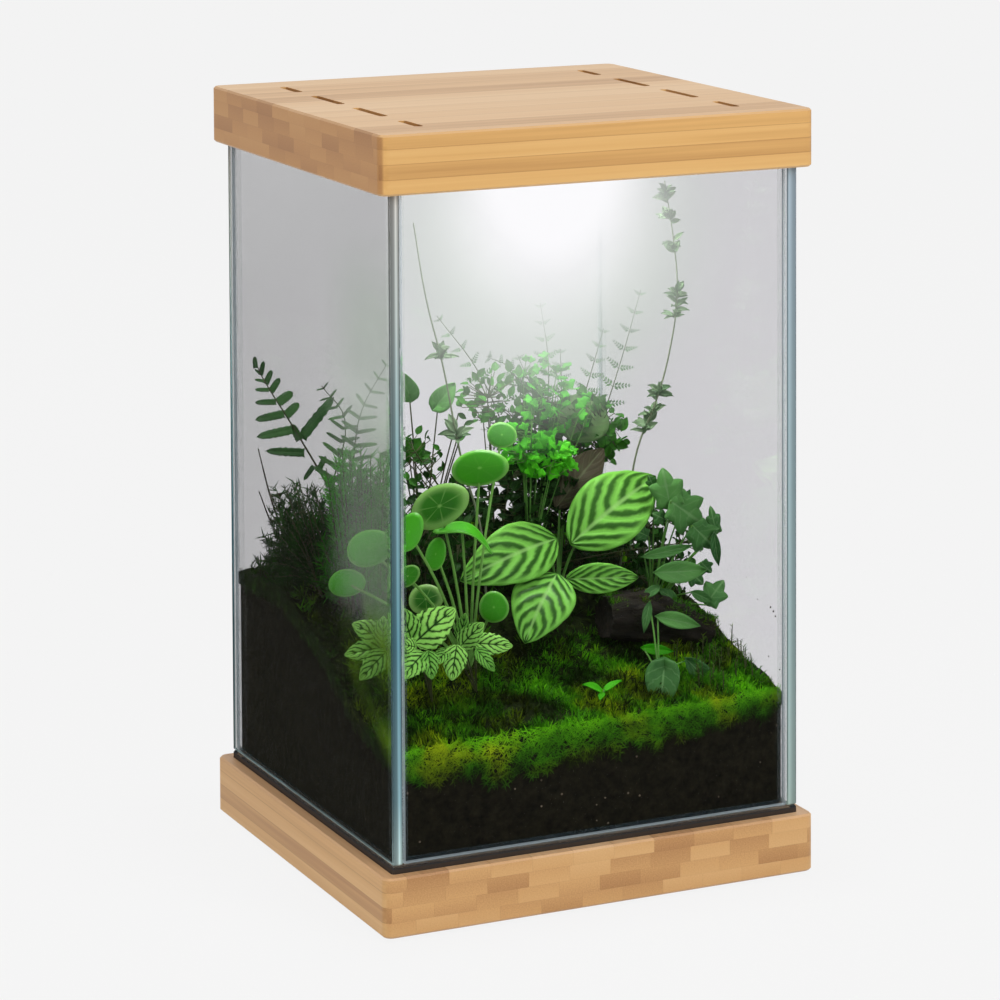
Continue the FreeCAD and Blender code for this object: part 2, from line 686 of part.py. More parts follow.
def maidenhair_fern():
    """Lobed leaflets on wiry stalks."""
    root = crown(*MAIDENHAIR_ROOT_SHARES)
    pieces = [root_plug(*MAIDENHAIR_ROOT_SHARES)]
    for number, tip_shares in enumerate(MAIDENHAIR_TIP_SHARES):
        end = place(tip_shares)
        pieces.append(tube(bowed(root, end), FINE_STEM_DIAMETER))
        for turn in MAIDENHAIR_TURN_ANGLES:
            reach = FreeCAD.Rotation(FRONT, turn).multVec(MAIDENHAIR_REACH).normalize()
            tip = end + reach * MAIDENHAIR_LEAF_LENGTH
            pieces.append(flat_leaf(end, tip, MAIDENHAIR_LEAF_LENGTH, FRONT_UP, TREFOIL_SHARES))
    return join(pieces)


def leaflet_pair(centre, ahead, length):
    """Two narrow leaflets that meet across a midrib and lean towards its tip."""
    across = ahead.cross(FRONT).normalize()
    tips = [(across * side + ahead * LEAFLET_LEAN_SHARE).normalize() * length for side in (1, -1)]
    half = ahead * length * LEAFLET_WIDTH_SHARE
    bellies = [tip * LEAFLET_BELLY_SHARE - half for tip in tips]
    outline = [half, tips[0], bellies[0], -half, bellies[1], tips[1]]
    face = ahead.cross(across).normalize() * LEAF_THICKNESS
    return prism([centre + point - face / 2 for point in outline], face)


def frond(route, leaflet_length, pairs):
    """A feather-shaped frond: a midrib with pairs of leaflets that shorten towards its tip."""
    pieces = [tube(route, FINE_STEM_DIAMETER)]
    spans = [(after - point).Length for point, after in zip(route, route[1:])]
    for pair in range(pairs):
        share = FIRST_PAIR_SHARE + (LAST_PAIR_SHARE - FIRST_PAIR_SHARE) * pair / (pairs - 1)
        distance = share * sum(spans)
        step = 0
        while step < len(spans) - 1 and distance > spans[step]:
            distance -= spans[step]
            step += 1
        ahead = (route[step + 1] - route[step]).normalize()
        length = leaflet_length * (1 - FROND_TAPER_SHARE * share ** 2)
        pieces.append(leaflet_pair(route[step] + ahead * distance, ahead, length))
    return join(pieces)


def frond_plant(root_shares, fronds, leaflet_length, pairs):
    """Several fronds from one root."""
    root = crown(*root_shares)
    pieces = [root_plug(*root_shares)]
    for shares in fronds:
        route = [root] + [place(share) for share in shares]
        pieces.append(frond(route, leaflet_length, pairs))
    return join(pieces)


def sword_fern():
    """Fronds in the back left corner."""
    return frond_plant(FERN_ROOT_SHARES, FERN_FROND_SHARES, FERN_LEAFLET_LENGTH, FERN_PAIR_COUNT)


def feather_fern():
    """Fine tall fronds behind the middle."""
    return frond_plant(FEATHER_ROOT_SHARES, FEATHER_FROND_SHARES, FEATHER_LEAFLET_LENGTH, FEATHER_PAIR_COUNT)


def leafy_plant(root_shares, leaves, outline_shares, facing, diameter):
    """Flat leaves on stalks from one root."""
    root = crown(*root_shares)
    pieces = [root_plug(*root_shares)]
    for base_shares, tip_shares, width_share in leaves:
        base = place(base_shares)
        tip = place(tip_shares)
        joint = base + (tip - base) * STALK_OVERLAP_SHARE
        pieces.append(tube(bowed(root, joint), diameter))
        pieces.append(flat_leaf(base, tip, (tip - base).Length * width_share, facing, outline_shares))
    return join(pieces)


def ivy_vine():
    """Lobed leaves at the right."""
    return leafy_plant(IVY_ROOT_SHARES, IVY_LEAF_SHARES, IVY_SHARES, FRONT_UP, FINE_STEM_DIAMETER)


def arrow_vine():
    """Three pointed leaves that hang over the front moss."""
    return leafy_plant(ARROW_ROOT_SHARES, ARROW_LEAF_SHARES, OVATE_SHARES, FRONT, FINE_STEM_DIAMETER)


def seedling():
    """A small sprout on the moss."""
    return leafy_plant(SEEDLING_ROOT_SHARES, SEEDLING_LEAF_SHARES, OVATE_SHARES, SKYWARD, FINE_STEM_DIAMETER)


def back_creeper():
    """Loose leaves behind the coin plant."""
    return leafy_plant(CREEPER_ROOT_SHARES, CREEPER_LEAF_SHARES, OVATE_SHARES, FRONT, FINE_STEM_DIAMETER)


def dark_bush():
    """Dense dark leaves between the broad leaves and the mound."""
    return leafy_plant(BUSH_ROOT_SHARES, BUSH_LEAF_SHARES, OVATE_SHARES, FRONT_UP, STEM_DIAMETER)


def tall_stem(root_shares, route_shares, station_shares, leaf_length):
    """A tall thin stem with pairs of small leaves at stations along it."""
    route = [crown(*root_shares)] + [place(shares) for shares in route_shares]
    pieces = [root_plug(*root_shares), tube(route, STEM_DIAMETER, STEM_TAPER_SHARE)]
    for number, station in enumerate(station_shares):
        step = min(int(station * (len(route) - 1)), len(route) - 2)
        share = station * (len(route) - 1) - step
        base = route[step] + (route[step + 1] - route[step]) * share
        for side in (-1, 1):
            reach = Vector(side, *WHORL_REACHES[number % 2]).normalize()
            width = leaf_length * WHORL_WIDTH_SHARE
            pieces.append(flat_leaf(base, base + reach * leaf_length, width, FRONT_UP, OVATE_SHARES))
    return join(pieces)


def tall_vine():
    """A stem that climbs almost to the lid at the right."""
    return tall_stem(VINE_ROOT_SHARES, VINE_ROUTE_SHARES, VINE_LEAF_STATION_SHARES, VINE_LEAF_LENGTH)


def tall_reed():
    """A thin bare-topped stem that leans to the left."""
    return tall_stem(REED_ROOT_SHARES, REED_ROUTE_SHARES, REED_LEAF_STATION_SHARES, REED_LEAF_LENGTH)


def clubmoss():
    """A tuft of bushy shoots: each swells from its foot and closes to a point."""
    root = crown(*CLUBMOSS_ROOT_SHARES)
    pieces = [root_plug(*CLUBMOSS_ROOT_SHARES)]
    for tip_shares in CLUBMOSS_TIP_SHARES:
        tip = place(tip_shares)
        foot = root + (tip - root) * CLUBMOSS_FOOT_SHARE
        middle = (foot + tip) / 2
        pieces.append(tube([root, foot + (middle - foot) / 2], STEM_DIAMETER))
        rings = [ring_at(point, tip - root, [CLUBMOSS_WIDTH / 2 * share] * STEM_SIDE_COUNT)
                 for point, share in zip((foot, middle, tip), CLUBMOSS_GIRTH_SHARES)]
        pieces.append(faceted(rings))
    return join(pieces)


def dead_twigs():
    """Dry forked twigs in the back left corner."""
    root = crown(*TWIG_ROOT_SHARES)
    pieces = [root_plug(*TWIG_ROOT_SHARES)]
    for tip_shares in TWIG_TIP_SHARES:
        tip = place(tip_shares)
        fork = root + (tip - root) * TWIG_FORK_SHARE
        across = (tip - root).cross(FRONT).normalize()
        pieces.append(tube([root, fork, tip], TWIG_DIAMETER, TWIG_TAPER_SHARE))
        pieces.append(tube([fork, fork + across * TWIG_FORK_LENGTH], TWIG_DIAMETER, TWIG_TAPER_SHARE))
    return join(pieces)


def driftwood():
    """A weathered log that tapers to the right, bedded in the moss."""
    path = [place(shares) for shares in LOG_PATH_SHARES]
    last = len(path) - 1
    rings = []
    for index, centre in enumerate(path):
        ahead = path[min(index + 1, last)] - path[max(index - 1, 0)]
        girth = LOG_DIAMETER / 2 * LOG_GIRTH_SHARES[index]
        rings.append(ring_at(centre, ahead, [girth * bark for bark in LOG_BARK_SHARES]))
    return faceted(rings)


def moss_sprigs(moss):
    """Upright shoots of moss along the right."""
    sprigs = []
    for x_share, y_share in SPRIG_PLACE_SHARES:
        foot = on_moss(x_share, y_share)
        route = [foot - UP * SPRIG_FOOT_DEPTH, foot + UP * SPRIG_HEIGHT]
        sprigs.append(tube(route, SPRIG_DIAMETER, SPRIG_TAPER_SHARE).cut(moss))
    return Part.makeCompound(sprigs)


def slot_through_lid(x, y0, y1):
    """The hollow of a slot with round ends."""
    radius = SLOT_WIDTH / 2
    hollow = block(x - radius, x + radius, y0, y1, WALL_TOP - OVERRUN, LID_TOP + OVERRUN)
    return hollow.makeFillet(radius * SLOT_ROUNDING_SHARE, upright_edges(hollow))


def lid_slots():
    """Eight ventilation slots in two rows."""
    x = BOARD_EDGE - SLOT_EDGE_DISTANCE
    long_start = SLOT_CENTRE_GAP / 2
    long_end = long_start + LONG_SLOT_LENGTH
    short_start = long_end + SLOT_GAP
    short_end = short_start + SHORT_SLOT_LENGTH
    spans = [(long_start, long_end), (short_start, short_end)]
    spans += [(-end, -start) for start, end in spans]
    return [slot_through_lid(side * x, y0, y1) for side in (-1, 1) for y0, y1 in spans]


def soft_square(side, bottom, top):
    """A square block with rounded upright edges."""
    body = square_block(side, bottom, top)
    return body.makeFillet(TRAY_CORNER_RADIUS, upright_edges(body))


def inlet_hole():
    """The stepped hole in the back edge of the lid, down to the lamp's pocket."""
    channel = along_y(LEAD_CHANNEL_DIAMETER / 2, TRAY_BORE / 2, INLET_TAIL + OVERRUN, LEAD_LEVEL)
    bore = along_y(INLET_DIAMETER / 2 + INLET_BORE_CLEARANCE, INLET_TAIL, BOARD_EDGE, LEAD_LEVEL)
    seat = along_y(INLET_RIM_DIAMETER / 2 + INLET_SEAT_CLEARANCE, BOARD_EDGE - INLET_SEAT_DEPTH,
                   BOARD_EDGE + OVERRUN, LEAD_LEVEL)
    return join([channel, bore, seat])


def lid_board():
    """Bamboo lid with slots, and room for the lamp, its lead and its inlet."""
    board = eased_board(LID_BOTTOM, LID_TOP).common(square_block(BOARD_SIDE, WALL_TOP, LID_TOP))
    lamp_room = soft_square(LAMP_POCKET_SIDE, WALL_TOP - OVERRUN, TRAY_TOP)
    for hollow in [lamp_room, inlet_hole()] + lid_slots():
        board = board.cut(hollow)
    return board


def lid_rim():
    """Bamboo frame glued under the lid board, around the top of the glass."""
    frame = eased_board(LID_BOTTOM, LID_TOP).common(square_block(BOARD_SIDE, LID_BOTTOM, WALL_TOP))
    return frame.cut(pocket(LID_BOTTOM - OVERRUN, WALL_TOP + OVERRUN))


def lamp_tray():
    """Pressed metal tray with a flange that lies against the lid, and a lip that carries the diffuser."""
    flange = soft_square(FLANGE_SIDE, FLANGE_BOTTOM, WALL_TOP)
    tray = soft_square(TRAY_SIDE, FLANGE_BOTTOM, TRAY_TOP).fuse(flange)
    tray = tray.cut(square_block(TRAY_BORE, FLANGE_BOTTOM + LIP_THICKNESS, TRAY_TOP - TRAY_WALL))
    tray = tray.cut(square_block(TRAY_BORE - 2 * LIP_WIDTH, FLANGE_BOTTOM - OVERRUN, TRAY_TOP - TRAY_WALL))
    return tray.cut(along_y(LEAD_CHANNEL_DIAMETER / 2, 0, TRAY_SIDE / 2 + OVERRUN, LEAD_LEVEL))


def lamp_board():
    """Board under the roof of the tray."""
    return square_block(TRAY_BORE - 2 * LAMP_CLEARANCE, BOARD_LEVEL, BOARD_LEVEL + LAMP_BOARD_THICKNESS)


def lamp_chips():
    """Light-emitting chips in rows under the board."""
    half = CHIP_SIDE / 2
    spots = [(row - (CHIP_ROW_COUNT - 1) / 2) * CHIP_PITCH for row in range(CHIP_ROW_COUNT)]
    chips = [block(x - half, x + half, y - half, y + half, BOARD_LEVEL - CHIP_THICKNESS, BOARD_LEVEL)
             for x in spots for y in spots]
    return Part.makeCompound(chips)


def lamp_diffuser():
    """Opal sheet on the lip of the tray."""
    seat = FLANGE_BOTTOM + LIP_THICKNESS
    return square_block(TRAY_BORE - 2 * LAMP_CLEARANCE, seat, seat + DIFFUSER_THICKNESS)


def terminal_block():
    """Small block on the board where the lead ends."""
    half = TERMINAL_LENGTH / 2
    bottom = BOARD_LEVEL - TERMINAL_HEIGHT
    return block(-half, half, TERMINAL_BACK - TERMINAL_WIDTH, TERMINAL_BACK, bottom, BOARD_LEVEL)


def lamp_lead():
    """Lead from the inlet to the terminal block."""
    return along_y(LEAD_DIAMETER / 2, TERMINAL_BACK, INLET_TAIL, LEAD_LEVEL)


def power_inlet():
    """Round low-voltage socket in the back edge of the lid, with a contact pin inside."""
    socket_end = INLET_FACE - SOCKET_DEPTH
    body = along_y(INLET_DIAMETER / 2, INLET_TAIL, INLET_FACE, LEAD_LEVEL)
    rim = along_y(INLET_RIM_DIAMETER / 2, INLET_FACE - INLET_RIM_THICKNESS, INLET_FACE, LEAD_LEVEL)
    socket = along_y(SOCKET_DIAMETER / 2, socket_end, INLET_FACE + OVERRUN, LEAD_LEVEL)
    pin = along_y(SOCKET_PIN_DIAMETER / 2, socket_end - OVERRUN, INLET_FACE - OVERRUN, LEAD_LEVEL)
    return body.fuse(rim).cut(socket).fuse(pin)


def planting(seam_parts):
    """Ground and plants. Roots and wood are bedded in the moss and the soil."""
    plants = {
        "prayer_plant": prayer_plant(),
        "coin_plant": coin_plant(),
        "nerve_plant": nerve_plant(),
        "maidenhair_fern": maidenhair_fern(),
        "sword_fern": sword_fern(),
        "feather_fern": feather_fern(),
        "ivy_vine": ivy_vine(),
        "arrow_vine": arrow_vine(),
        "seedling": seedling(),
        "tall_vine": tall_vine(),
        "tall_reed": tall_reed(),
        "back_creeper": back_creeper(),
        "dark_bush": dark_bush(),
        "clubmoss": clubmoss(),
        "dead_twigs": dead_twigs(),
    }
    wood = driftwood()
    roots = [
        PRAYER_ROOT_SHARES, COIN_ROOT_SHARES, MAIDENHAIR_ROOT_SHARES, FERN_ROOT_SHARES, FEATHER_ROOT_SHARES,
        IVY_ROOT_SHARES, ARROW_ROOT_SHARES, SEEDLING_ROOT_SHARES, VINE_ROOT_SHARES, REED_ROOT_SHARES,
        CREEPER_ROOT_SHARES, BUSH_ROOT_SHARES, CLUBMOSS_ROOT_SHARES, TWIG_ROOT_SHARES, *NERVE_ROOT_SHARES,
    ]
    plugs = [root_plug(*shares) for shares in roots]
    soil = ground_layer(FLOOR, ground_grid(0))
    moss = ground_layer(ground_grid(0), ground_grid(MOSS_THICKNESS))
    soil = soil.cut(Part.makeCompound(plugs)).cut(wood).cut(seam_parts)
    moss = moss.cut(Part.makeCompound(plugs)).cut(wood).cut(seam_parts)
    plants["soil_bed"] = soil
    plants["moss_carpet"] = moss
    plants["driftwood"] = wood
    plants["moss_sprigs"] = moss_sprigs(moss)
    return plants


def build():
    """All the sub-parts by name."""
    seam = floor_seam()
    corners = corner_seams(seam)
    parts = {
        "base_tray": base_tray(),
        "foot_pads": foot_pads(),
        "bottom_pane": bottom_pane(),
        "front_pane": front_wall(-1),
        "back_pane": front_wall(1),
        "left_pane": side_wall(-1),
        "right_pane": side_wall(1),
        "floor_seam": seam,
        "corner_seams": corners,
        "lid_board": lid_board(),
        "lid_rim": lid_rim(),
        "lamp_tray": lamp_tray(),
        "lamp_board": lamp_board(),
        "lamp_chips": lamp_chips(),
        "lamp_diffuser": lamp_diffuser(),
        "terminal_block": terminal_block(),
        "lamp_lead": lamp_lead(),
        "power_inlet": power_inlet(),
    }
    parts.update(planting(Part.makeCompound([seam, corners])))
    return parts


os.makedirs("parts", exist_ok=True)
for name, shape in build().items():
    shape.exportStep("parts/" + name + ".step")
    print(name, len(shape.Solids), round(shape.Volume), shape.isValid())
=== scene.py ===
# %% [markdown]
# # A planted terrarium
#
# The real object is a square glass tank in a bamboo tray, with a bamboo lid that carries a lamp. Moss, a
# log and fourteen plants grow in it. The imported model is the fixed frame: boards, panes and lamp parts
# keep their shapes and only get finishes. What grows is modelled anew, because a plant is known by its
# leaves.

# %% Load the frame
import bmesh
import bpy
import math
import random
import numpy as np
from mathutils import Matrix, Vector, noise
from mathutils.bvhtree import BVHTree


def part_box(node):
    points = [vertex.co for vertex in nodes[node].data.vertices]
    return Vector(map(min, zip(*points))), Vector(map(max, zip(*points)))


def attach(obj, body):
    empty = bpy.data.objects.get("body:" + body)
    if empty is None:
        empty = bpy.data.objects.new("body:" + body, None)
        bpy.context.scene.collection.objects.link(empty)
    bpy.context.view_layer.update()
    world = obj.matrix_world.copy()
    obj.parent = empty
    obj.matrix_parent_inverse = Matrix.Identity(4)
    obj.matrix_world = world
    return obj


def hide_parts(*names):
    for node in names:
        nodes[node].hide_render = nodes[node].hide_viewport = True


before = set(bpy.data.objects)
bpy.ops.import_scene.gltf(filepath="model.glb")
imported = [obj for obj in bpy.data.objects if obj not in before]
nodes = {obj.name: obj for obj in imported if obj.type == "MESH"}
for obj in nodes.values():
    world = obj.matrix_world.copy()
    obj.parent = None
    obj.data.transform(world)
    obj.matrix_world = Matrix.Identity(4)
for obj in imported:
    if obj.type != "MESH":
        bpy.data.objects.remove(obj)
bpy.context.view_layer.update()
MM = 0.001

# %% [markdown]
# The photograph was taken from the front left, above the lid, and its upright edges are parallel, as with
# a view camera. A level camera with a lens shift could imitate that for one tilt only. So the camera
# hangs on a frame that isn't square: right and top lie in the picture plane, and ahead points at the
# middle of the picture. All were worked out from the corners of the boards and the glass.

# %% Camera
CAMERA_PLACE = Vector((-727.19, -1618.88, 562.58)) * MM
PICTURE_RIGHT = Vector((0.894578, -0.446908, -0.002007))
PICTURE_TOP = Vector((0.029767, 0.055103, 0.998037))
AHEAD = Vector((0.398189, 0.890651, -0.219515))
LENS = 139.97


def put_in_scene(thing):
    """Adds a new object to the scene."""
    bpy.context.scene.collection.objects.link(thing)


camera_data = bpy.data.cameras.new("camera")
camera_data.lens = LENS
camera_data.clip_end = 20
camera = bpy.data.objects.new("camera", camera_data)
put_in_scene(camera)
tripod = bpy.data.objects.new("tripod", None)
put_in_scene(tripod)
camera.parent = tripod
camera.matrix_parent_inverse = Matrix.Translation(CAMERA_PLACE) @ Matrix(
    (PICTURE_RIGHT, PICTURE_TOP, -AHEAD)).transposed().to_4x4()
bpy.context.scene.camera = camera
bpy.context.scene.view_settings.view_transform = "Standard"
print("camera", round(CAMERA_PLACE.length, 3), "m from the origin, lens", LENS, "mm")

# %% [markdown]
# Materials are node trees. Wired one by one, nodes hide the idea, so small helpers keep it readable.
# `add` makes a node and plugs sockets or values into it, `calculate` is one Math node, and `between` and
# `fading` are soft steps that make a mask from a place.

# %% Node helpers


def plug(tree, node, inputs):
    """Fills inputs of a node with sockets or values."""
    for socket, value in inputs.items():
        if isinstance(value, bpy.types.NodeSocket):
            tree.links.new(value, node.inputs[socket])
        else:
            node.inputs[socket].default_value = value
    return node


def add(tree, kind, inputs=None, **options):
    """A shader node with its inputs filled."""
    node = tree.nodes.new("ShaderNode" + kind)
    for option, value in options.items():
        setattr(node, option, value)
    return plug(tree, node, inputs or {})


def split(tree, vector):
    """The three numbers of a vector."""
    return add(tree, "SeparateXYZ", {0: vector}).outputs


def calculate(tree, operation, *values):
    """The result of one Math node."""
    return add(tree, "Math", dict(enumerate(values)), operation=operation).outputs[0]


def times(tree, first, *others):
    """The product of two or more values."""
    for other in others:
        first = calculate(tree, "MULTIPLY", first, other)
    return first


def plus(tree, first, second):
    """A sum."""
    return calculate(tree, "ADD", first, second)


def minus(tree, first, second):
    """A difference."""
    return calculate(tree, "SUBTRACT", first, second)


def larger(tree, first, second):
    """The larger of two values."""
    return calculate(tree, "MAXIMUM", first, second)


def apart(tree, first, second):
    """How far apart two values are."""
    return calculate(tree, "ABSOLUTE", minus(tree, first, second))


def opposite(tree, mask):
    """1 where a mask is 0, and 0 where it is 1."""
    return minus(tree, 1.0, mask)


def between(tree, value, low, high):
    """0 below low, 1 above high, and smooth between them."""
    node = add(tree, "MapRange", {0: value, 1: low, 2: high}, interpolation_type="SMOOTHSTEP")
    return node.outputs[0]


def fading(tree, value, low, high):
    """1 below low, 0 above high, and smooth between them."""
    return opposite(tree, between(tree, value, low, high))


print("maths helpers ready")

# %% [markdown]
# A finish needs colours and some unevenness. A colour can be mixed, or read from a ramp. Noise could lie
# on a UV map, but the boards and panes have none, so it reads Object coordinates, which stay with the
# piece when its body moves.

# %% Colour and pattern helpers


def object_noise(tree, scale, detail=2.0, roughness=0.5):
    """A cloudy value over the surface, fixed to the object."""
    place_node = add(tree, "TexCoord").outputs["Object"]
    return add(
        tree, "TexNoise",
        {"Vector": place_node, "Scale": scale, "Detail": detail, "Roughness": roughness}).outputs[0]


def blend(tree, factor, first, second, mode="MIX"):
    """The result of one colour Mix node."""
    node = add(tree, "Mix", {0: factor, 6: first, 7: second}, data_type="RGBA", blend_type=mode)
    return node.outputs[2]


def ramp(tree, factor, *stops):
    """A colour ramp through (place, colour) stops."""
    node = add(tree, "ValToRGB", {0: factor})
    elements = node.color_ramp.elements
    while len(elements) < len(stops):
        elements.new(0.5)
    for element, (place_on_ramp, colour) in zip(elements, stops):
        element.position = place_on_ramp
        element.color = (*colour, 1)
    return node.outputs[0]


print("colour helpers ready")

# %% [markdown]
# An effect that several materials use is a node group, made once and placed in each with its own values.
# A material could be built from nothing, but the Principled shader already holds most real finishes, so
# each starts from that one.

# %% Group and material helpers


def new_group(name, inputs, outputs):
    """An empty node group with named sockets. Returns its tree, its input node and its output node."""
    tree = bpy.data.node_groups.new(name, "ShaderNodeTree")
    for label, kind in inputs:
        tree.interface.new_socket(label, in_out="INPUT", socket_type="NodeSocket" + kind)
    for label, kind in outputs:
        tree.interface.new_socket(label, in_out="OUTPUT", socket_type="NodeSocket" + kind)
    return tree, tree.nodes.new("NodeGroupInput"), tree.nodes.new("NodeGroupOutput")


def use_group(tree, group, inputs):
    """A node group placed in a tree."""
    node = tree.nodes.new("ShaderNodeGroup")
    node.node_tree = group
    return plug(tree, node, inputs)


def new_material(name, **values):
    """A material, its tree and its Principled shader with plain values set."""
    material = bpy.data.materials.new(name)
    material.use_nodes = True
    tree = material.node_tree
    shader = tree.nodes["Principled BSDF"]
    for label, value in values.items():
        shader.inputs[label.replace("_", " ")].default_value = value
    return material, tree, shader


def mix_shaders(tree, factor, first, second):
    """One shader node from two."""
    return add(tree, "MixShader", {0: factor, 1: first.outputs[0], 2: second.outputs[0]})


def show(tree, shader):
    """Sends a shader to the output of its material."""
    tree.links.new(shader.outputs[0], tree.nodes["Material Output"].inputs[0])


def paint(tree, shader, colour):
    """Colours the surface."""
    tree.links.new(colour, shader.inputs["Base Color"])


def bump(tree, shader, height, strength, distance):
    """Small relief on the surface."""
    node = add(tree, "Bump", {"Height": height, "Strength": strength, "Distance": distance})
    tree.links.new(node.outputs[0], shader.inputs["Normal"])


def finish_node(node, material):
    """Gives a CAD node its material."""
    mesh = nodes[node].data
    mesh.materials.clear()
    mesh.materials.append(material)


print("helpers ready")

# %% [markdown]
# The setting is white. Lamps alone could make the room white, but then its tone would change with every
# lamp. So what the camera sees of the room, directly or through the glass, is a plain pale tone, and the
# room lights the pieces with a softer one. The panes would mirror the white room as a pale veil, so a ray
# from one sharp mirror bounce sees black cloth, as if it hung beside the camera.

# %% Room
ROOM_WHITE = (0.9, 0.9, 0.9, 1)
BLACK_CLOTH = (0.016, 0.016, 0.011, 1)

world = bpy.data.worlds.new("room")
world.use_nodes = True
bpy.context.scene.world = world
room = world.node_tree
room.nodes.clear()


def ways_of_seeing(tree):
    """Two masks for a ray: it looks at the room, or it comes from a sharp mirror."""
    ray = add(tree, "LightPath")
    seen = larger(tree, ray.outputs["Is Camera Ray"], ray.outputs["Is Glossy Ray"])
    seen = larger(tree, seen, ray.outputs["Is Transmission Ray"])
    turned_back = calculate(tree, "COMPARE", ray.outputs["Glossy Depth"], 1.0, 0.5)
    return seen, times(tree, ray.outputs["Is Singular Ray"], turned_back)


seen, mirrored = ways_of_seeing(room)
soft_light = add(room, "Background", {"Color": (1, 1, 1, 1), "Strength": 0.42})
white_room = add(room, "Background", {"Color": ROOM_WHITE, "Strength": 1.0})
black_cloth = add(room, "Background", {"Color": BLACK_CLOTH, "Strength": 1.0})
mixed = mix_shaders(room, seen, soft_light, white_room)
mixed = mix_shaders(room, mirrored, mixed, black_cloth)
room.links.new(mixed.outputs[0], add(room, "OutputWorld").inputs[0])
print("room", ROOM_WHITE)

# %% [markdown]
# The table is one large plane. A plain white one would turn grey where the lamps are weak, so it shows
# the pale tone of the room, mixed with a little of its own shading, which keeps a faint shadow under the
# base.

# %% Table
TABLE_WIDTH = 9
TABLE_TONE = (0.925, 0.925, 0.925, 1)
OWN_SHADING = 0.05
bpy.ops.object.select_all(action="DESELECT")
bpy.ops.mesh.primitive_plane_add(size=TABLE_WIDTH, location=(0, 0, -0.2 * MM))
table = bpy.context.object
table.name = "table"
table_white, tree, shader = new_material("table_white", Roughness=0.9, Base_Color=(0.7, 0.7, 0.7, 1))
seen, mirrored = ways_of_seeing(tree)
glow = add(tree, "Emission", {"Color": TABLE_TONE, "Strength": 1.0})
black_cloth = add(tree, "Emission", {"Color": BLACK_CLOTH, "Strength": 1.0})
mixed = mix_shaders(tree, times(tree, seen, 1 - OWN_SHADING), shader, glow)
show(tree, mix_shaders(tree, mirrored, mixed, black_cloth))
table.data.materials.append(table_white)
print("table", TABLE_WIDTH, "m wide")

# %% [markdown]
# A large soft lamp stands in front, with weaker ones at the left and above. A sun or a point lamp would
# draw hard shadows that the photograph lacks, so all are area lamps. A small one lights the plants from
# inside and rides on the lid.

# %% Lamps


def area_lamp(name, place, target, size, watts, colour=(1, 1, 1)):
    """A soft square lamp that faces a target."""
    data = bpy.data.lights.new(name, "AREA")
    data.size = size
    data.energy = watts
    data.color = colour
    lamp = bpy.data.objects.new(name, data)
    put_in_scene(lamp)
    lamp.location = place
    lamp.rotation_euler = (Vector(target) - Vector(place)).to_track_quat("-Z", "Y").to_euler()
    return lamp


area_lamp("front_lamp", (0.6, -1.6, 1.2), (0, 0, 0.2), 1.2, 17.5)
area_lamp("left_lamp", (-1.6, -0.4, 0.9), (0, 0, 0.2), 1.2, 8)
area_lamp("top_lamp", (-0.2, 0.2, 2.0), (0, 0, 0.3), 1.6, 6)
tank_lamp = area_lamp("tank_lamp", (0, 0, 0.3295), (0, 0, 0), 0.085, 0.5, (0.97, 1.0, 0.95))
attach(tank_lamp, "lid")
print("lamps", len(bpy.data.lights))

# %% [markdown]
# The boards are bamboo, laminated from four layers of 20 mm strips. A picture could be wrapped round
# them, but its grain would stop at the corners. So a node group cuts a place on the board into layers and
# strips and gives each strip a tone. The strips of the lid run from side to side, and those of the base
# from front to back.

# %% Bamboo strips
STRIP_WIDTH = 20.0 * MM
BOARD_THICKNESS = 26.5 * MM
LAYERS = 4

bamboo, start, end = new_group(
    "bamboo_strips",
    [("Place", "Vector"), ("Facing", "Vector")],
    [("Tone", "Float"), ("Grain", "Float"), ("Joint", "Float"), ("Ends", "Float"), ("Shade", "Float"),
     ("Top", "Float")])
along, across, up = split(bamboo, start.outputs["Place"])
layer_place = calculate(bamboo, "DIVIDE", up, BOARD_THICKNESS / LAYERS)
layer = calculate(bamboo, "FLOOR", layer_place)
layer_random = add(bamboo, "TexWhiteNoise", {"W": layer}, noise_dimensions="1D")
shift = plus(bamboo, calculate(bamboo, "DIVIDE", across, STRIP_WIDTH), layer_random.outputs["Value"])
strip = calculate(bamboo, "FLOOR", shift)
strip_part = calculate(bamboo, "FRACT", shift)
layer_part = calculate(bamboo, "FRACT", layer_place)
strip_id = add(bamboo, "CombineXYZ", {0: strip, 1: layer, 2: 3.7})
strip_random = add(bamboo, "TexWhiteNoise", {"Vector": strip_id.outputs[0]}, noise_dimensions="3D")
tone = strip_random.outputs["Value"]
facing = split(bamboo, start.outputs["Facing"])
ends = between(bamboo, calculate(bamboo, "ABSOLUTE", facing[0]), 0.55, 0.8)
on_top = between(bamboo, calculate(bamboo, "ABSOLUTE", facing[2]), 0.55, 0.8)
print("strips", STRIP_WIDTH, "m wide, layers", LAYERS)

# %% [markdown]
# Along a strip the fibres are long and thin, and at its end they show as pores. Both could be waves, but
# real fibres are uneven, so both are noise: stretched along the strip, or fine both ways, and the side
# that a face looks to chooses between them.

# %% Bamboo grain


def board_noise(along_scale, across_scale, up_scale, height, detail):
    """Noise that is stretched by its own scale along, across and up the board."""
    stretched = add(bamboo, "CombineXYZ", {0: times(bamboo, along, along_scale),
                                           1: times(bamboo, across, across_scale),
                                           2: times(bamboo, height, up_scale)})
    return add(bamboo, "TexNoise",
               {"Vector": stretched.outputs[0], "Scale": 1.0, "Detail": detail}).outputs[0]


